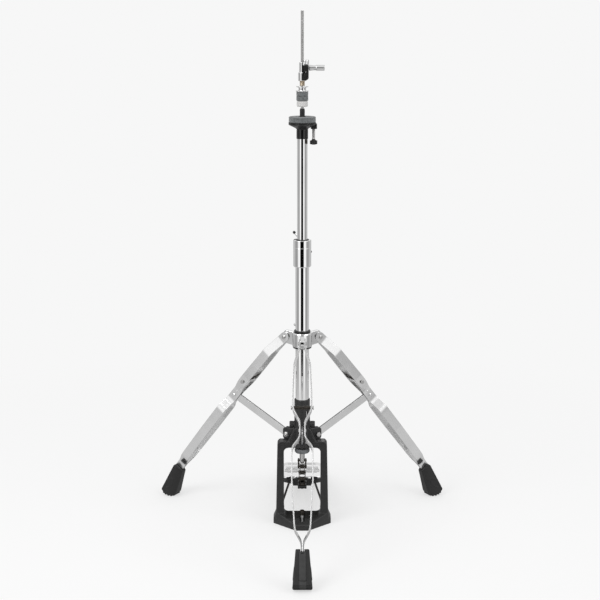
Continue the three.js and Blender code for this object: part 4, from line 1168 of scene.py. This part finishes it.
def cymbal_seat():
    tube = span("upper_tube")
    low, high = span("seat_neck")
    inner = tube[1].x + 0.25
    neck = turned([
        (inner, low.z, 0.3), (10.7, low.z, 0.7), (10.7, high.z - 1.2), (10.2, high.z, 0.4),
        (5.2, high.z, 0.2), (5.2, tube[1].z + 0.3), (inner, tube[1].z + 0.3),
    ], 192)
    fine("seat_neck", neck, GLOSS_BLACK)

    low, high = span("neck_set_screw")
    centre = (low + high) / 2
    screw = cut(bar(1.7, low.z, high.z, 0.4, 24), block((-2, -0.35, low.z - 1), (2, 0.35, low.z + 1), 0.05))
    fine("neck_set_screw", moved(screw, centre.x, centre.y, 0), BLACK_STEEL)

    low, high = span("seat_base")
    cone = turned([
        (4.9, low.z, 0.2), (11.2, low.z, 0.8), (12.2, low.z + 1.4, 1.0), (24.0, high.z - 2.6, 1.2),
        (25.2, high.z - 1.8, 0.6), (25.2, high.z, 0.5), (4.9, high.z, 0.3),
    ], 96)
    screw_x = pivot("tilter_turn").x
    lug = block((15.5, -6, low.z + 0.4), (high.x, 6, high.z), 1.3)
    hole = moved(bar(3.05, low.z - 5, high.z + 9, 0.1, 28), screw_x, 0, 0)
    fine("seat_base", cut(joined(cone, lug), hole), SATIN_PLASTIC)

    low, high = span("seat_sleeve")
    fine("seat_sleeve", turned([
        (3.4, low.z, 0.2), (4.6, low.z, 0.2), (4.6, high.z - 3, 0.8), (3.9, high.z, 0.5), (3.4, high.z, 0.2),
    ], 48), RUBBER)
    low, high = span("seat_plate")
    fine("seat_plate", ring(7, high.x, low.z, high.z, 0.5, 96), BLACK_PLASTIC)
    low, high = span("seat_felt")
    felt_disc("seat_felt", 7.0, high.x, low.z, high.z, 1.4)

    low, high = span("tilter_screw")
    stem = high.x - screw_x
    fine("tilter_screw", moved(thread(stem, 0.4, 1.0, low.z, high.z, 24), screw_x), BARE_STEEL)
    low, high = span("tilter_knob")
    middle = turned([
        (0, low.z), (4.2, low.z, 1.0), (4.6, low.z + 3, 0.8), (4.6, high.z - 1, 0.8), (3.4, high.z, 0.8),
        (0, high.z),
    ], 40)
    neck = turned([(0, high.z - 1), (3.4, high.z - 1), (2.6, high.z + 3.6, 0.6), (0, high.z + 3.6)], 32)
    lobes = [moved(bar(2.9, low.z + 0.6, high.z - 1.2, 0.9, 28), 3.9 * side, 0, 0) for side in (-1, 1)]
    lobes += [moved(bar(1.6, low.z + 0.6, high.z - 1.2, 0.6, 20), 0, 4.0 * side, 0) for side in (-1, 1)]
    shape = cut(joined(middle, neck, *lobes), bar(stem + 0.2, high.z - 0.3, high.z + 9, 0, 32))
    fine("tilter_knob", moved(shape, screw_x, 0, 0), BLACK_PLASTIC)


# ---- clutch --------------------------------------------------------------------------------------
def clutch():
    rod = span("pull_rod_upper")[1].x + 0.3
    low, high = span("clutch_body")
    bolt = pivot("clutch_bolt_turn").z
    nut = span("clutch_flange_nut")
    jaw_low = high.z - 9.4
    lower = turned([
        (5.2, low.z, 0.2), (6.5, low.z, 0.3), (6.5, nut[0].z - 0.8, 0.3), (4.7, nut[0].z, 0.2),
        (4.7, 846), (rod, 846), (rod, 825), (5.2, 825),
    ], 64)
    screw = thread(4.75, 0.45, 1.2, 844, 857, 36)
    upper = turned([
        (0, 854.5), (7.2, 854.5, 0.5), (7.4, 856, 0.3), (7.4, 869, 0.8), (5.6, 870.4, 0.3), (5.6, 888, 0.5),
        (0, 888),
    ], 64)
    jaw = slab(rectangle(1, -5.6, 12, 5.6, 5.4), jaw_low, high.z, 1.4)
    shape = cut(joined(screw, upper, jaw), bar(rod, 840, 900, 0.05, 40))
    thread_low, thread_high = nut[1].z, 855
    fine("clutch_body", merged(lower, shape), CAST_CHROME, accents=[
        (BRASS, lambda at, _: thread_low < at.z < thread_high),
        (STRIP_CHROME, lambda at, _: at.z > jaw_low and at.x > 5.7),
    ])

    low, high = span("clutch_housing")
    outline = rounded([
        (low.x, low.z, 1.2), (6, low.z, 4), (high.x, 858, 7), (high.x, high.z, 1.4), (0.9, high.z, 0.6),
        (0.9, 868, 0.8), (low.x, 866, 0.8),
    ], 6)
    cover = slab(outline, low.y, high.y, 1.3, "xz")
    inside = [
        bar(7.7, 850, 871, 0.1, 48), bar(5.9, 860, 890, 0.1, 40),
        laid("x", bar(3.3, 3, 15, 0.1, 28), (0, 0, bolt)),
        laid("y", bar(1.9, -12, 12, 0.1, 28), (5.2, 0, 869.5)),
    ]
    fine("clutch_housing", cut(cover, *inside), BLACK_PLASTIC)

    low, high = span("clutch_wing_bolt")
    grip = turned([
        (0, low.x), (2.9, low.x, 0.2), (2.9, 12.2), (4.9, 12.4, 0.4), (5.3, 13.4, 0.6), (5.3, 15.5, 1.0),
        (4.5, 21.0, 4.0), (4.7, 25.0, 1.0), (5.4, 26.2, 0.5), (5.4, high.x - 0.8, 0.8), (4.6, high.x, 0.5),
        (0, high.x),
    ], 48)
    fine("clutch_wing_bolt", laid("x", grip, (0, 0, bolt)), CAST_CHROME)

    low, high = span("clutch_flange_nut")
    flange = turned([
        (5.05, low.z, 0.2), (high.x, low.z, 0.4), (high.x, low.z + 1.6, 0.4), (6.8, low.z + 2.6, 0.8),
        (6.8, high.z - 2.6, 0.8), (10.8, high.z - 1.5, 0.4), (10.8, high.z, 0.4), (5.05, high.z, 0.2),
    ], 144)
    fine("clutch_flange_nut", fluted(flange, 36, 0.35, low.z - 1, low.z + 1.8), CAST_CHROME)
    for node in ("clutch_felt_upper", "clutch_felt_lower"):
        low, high = span(node)
        felt_disc(node, 6.9, high.x, low.z, high.z, 0.9)
    low, high = span("clutch_lower_nut")
    nut = turned([
        (6.8, low.z, 0.3), (9.0, low.z, 0.9), (10.2, low.z + 1.6, 0.9), (10.2, high.z - 2.2, 0.7),
        (9.4, high.z, 0.8), (6.8, high.z, 0.3),
    ], 144)
    fine("clutch_lower_nut", fluted(nut, 12, 0.5, low.z + 1, high.z - 2.5), NYLON)


# ---- stage ---------------------------------------------------------------------------------------
CAMERA = {"place": (-0.0042, -2.5, 1.007), "pitch": 12.65, "lens": 81.54}
FLOOR_RADIUS = 60.0
PALE = 0.93
# Brightness of the studio round the stand, by the angle from the camera's side (a share of a half turn):
# a narrow dark gap between two white banks, grey walls at the sides, lighter walls behind.
WALLS = [
    (0.0, 0.002), (0.112, 0.002), (0.126, 0.4), (0.145, 1.15), (0.26, 1.15), (0.31, 0.6), (0.38, 0.38),
    (0.46, 0.36), (0.56, 0.48), (0.68, 0.62), (0.8, 0.72), (0.86, 0.22), (0.94, 0.2), (0.975, 0.85), (1.0, 0.9),
]
# The same for directions 15 degrees or more below level.
# It stands in for the floor, which gives no reflection.
LOW_WALLS = [
    (0.0, 0.8), (0.2, 0.85), (0.33, 0.7), (0.6, 0.64), (0.8, 0.6), (0.86, 0.5), (0.96, 0.4), (1.0, 0.5),
]
STUDIO_TURN = math.radians(-2.5)


def studio():
    """A white room by its brightness in each direction; the camera itself sees a plain pale background."""
    world = bpy.data.worlds.new("studio")
    world.use_nodes = True
    tree = world.node_tree
    tree.nodes.clear()
    parts = add_node(tree, "SeparateXYZ", {"Vector": add_node(tree, "TexCoord").outputs["Generated"]}).outputs
    ahead = add_node(tree, "Math", {0: parts["Y"], 1: -1.0}, operation="MULTIPLY").outputs[0]
    around = add_node(tree, "Math", {0: parts["X"], 1: ahead}, operation="ARCTAN2").outputs[0]
    around = add_node(tree, "Math", {0: around, 1: STUDIO_TURN}, operation="SUBTRACT").outputs[0]
    around = add_node(tree, "Math", {0: around}, operation="ABSOLUTE").outputs[0]
    around = add_node(tree, "Math", {0: around, 1: math.pi}, operation="DIVIDE").outputs[0]
    rings = []
    for pattern in (WALLS, LOW_WALLS):
        walls = add_node(tree, "ValToRGB", {"Fac": around})
        stops = walls.color_ramp.elements
        while len(stops) < len(pattern):
            stops.new(0.5)
        for stop, (place, value) in zip(stops, pattern):
            stop.position, stop.color = place, grey(value)
        rings.append(walls.outputs["Color"])
    low = ranged(tree, parts["Z"], 1, 0, -0.295, -0.262)
    light = blended(tree, low, *rings)
    up = ranged(tree, parts["Z"], 0, 1, 0.14, 0.5)
    light = blended(tree, up, light, grey(0.84))
    down = ranged(tree, parts["Z"], 1, 0, -0.75, -0.5)
    light = blended(tree, down, light, grey(0.6))
    seen = add_node(tree, "LightPath").outputs["Is Camera Ray"]
    light = blended(tree, seen, light, grey(PALE))
    back = add_node(tree, "Background", {"Color": light, "Strength": 1.0})
    out = add_node(tree, "OutputWorld")
    tree.links.new(back.outputs[0], out.inputs["Surface"])
    bpy.context.scene.world = world


def floor():
    """A pale floor that takes soft shadows near the stand and fades into the background."""
    shape = bmesh.new()
    radii = (0.5, 2.0, 8.0, FLOOR_RADIUS)
    rings = [[shape.verts.new((*spot, 0)) for spot in circle(radius, 96)] for radius in radii]
    skin(shape, rings, caps=False)
    shape.faces.new(rings[0])
    mesh = bpy.data.meshes.new("floor")
    bmesh.ops.recalc_face_normals(shape, faces=shape.faces)
    shape.to_mesh(mesh)
    shape.free()
    made = bpy.data.objects.new("floor", mesh)
    bpy.context.scene.collection.objects.link(made)
    made.visible_glossy = False
    material, tree, surface = new_tree("floor")
    surface.inputs["Base Color"].default_value = grey(0.9)
    surface.inputs["Roughness"].default_value = 0.9
    surface.inputs["Specular IOR Level"].default_value = 0.0
    away = add_node(tree, "VectorMath", {0: add_node(tree, "TexCoord").outputs["Object"]}, operation="LENGTH")
    far = ranged(tree, away.outputs["Value"], 0.62, 1, 0.4, 1.3)
    plain = add_node(tree, "Emission", {"Color": grey(PALE), "Strength": 1.0})
    mixed = add_node(tree, "MixShader", {0: far, 1: surface.outputs[0], 2: plain.outputs[0]})
    tree.links.new(mixed.outputs[0], tree.nodes["Material Output"].inputs["Surface"])
    mesh.materials.append(material)


def lamp(name, place, size, power):
    """A soft square light that faces the middle of the stand."""
    data = bpy.data.lights.new(name, "AREA")
    data.shape, data.size, data.energy = "SQUARE", size, power
    made = bpy.data.objects.new(name, data)
    made.location = place
    made.rotation_euler = (Vector((0, 0, 0.4)) - Vector(place)).to_track_quat("-Z", "Y").to_euler()
    made.visible_camera = False
    bpy.context.scene.collection.objects.link(made)


def camera():
    data = bpy.data.cameras.new("camera")
    data.sensor_width, data.lens = 36, CAMERA["lens"]
    data.clip_start, data.clip_end = 0.05, 200
    made = bpy.data.objects.new("camera", data)
    made.location = CAMERA["place"]
    made.rotation_euler = (math.radians(90 - CAMERA["pitch"]), 0, 0)
    bpy.context.scene.collection.objects.link(made)
    bpy.context.scene.camera = made


camera()
studio()
floor()
lamp("key", (-1.6, -1.5, 2.2), size=1.4, power=28)
lamp("fill", (1.9, -1.2, 1.7), size=1.6, power=14)
bpy.context.scene.view_settings.view_transform = "Standard"

column()
t_bolt("height_t_bolt", "height_bolt_turn", tilt=-39.5, capped=True)
t_bolt("collar_t_bolt", "collar_bolt_turn", tilt=-35, capped=False)
leg_collar()
legs()
pedal_frame()
anchor_screw()
rod_bumper()
pull_rod()
return_spring()
chain()
footboard()
heel_plate()
radius_rod("radius_rod_left", -1)
radius_rod("radius_rod_right", 1)
cymbal_seat()
clutch()
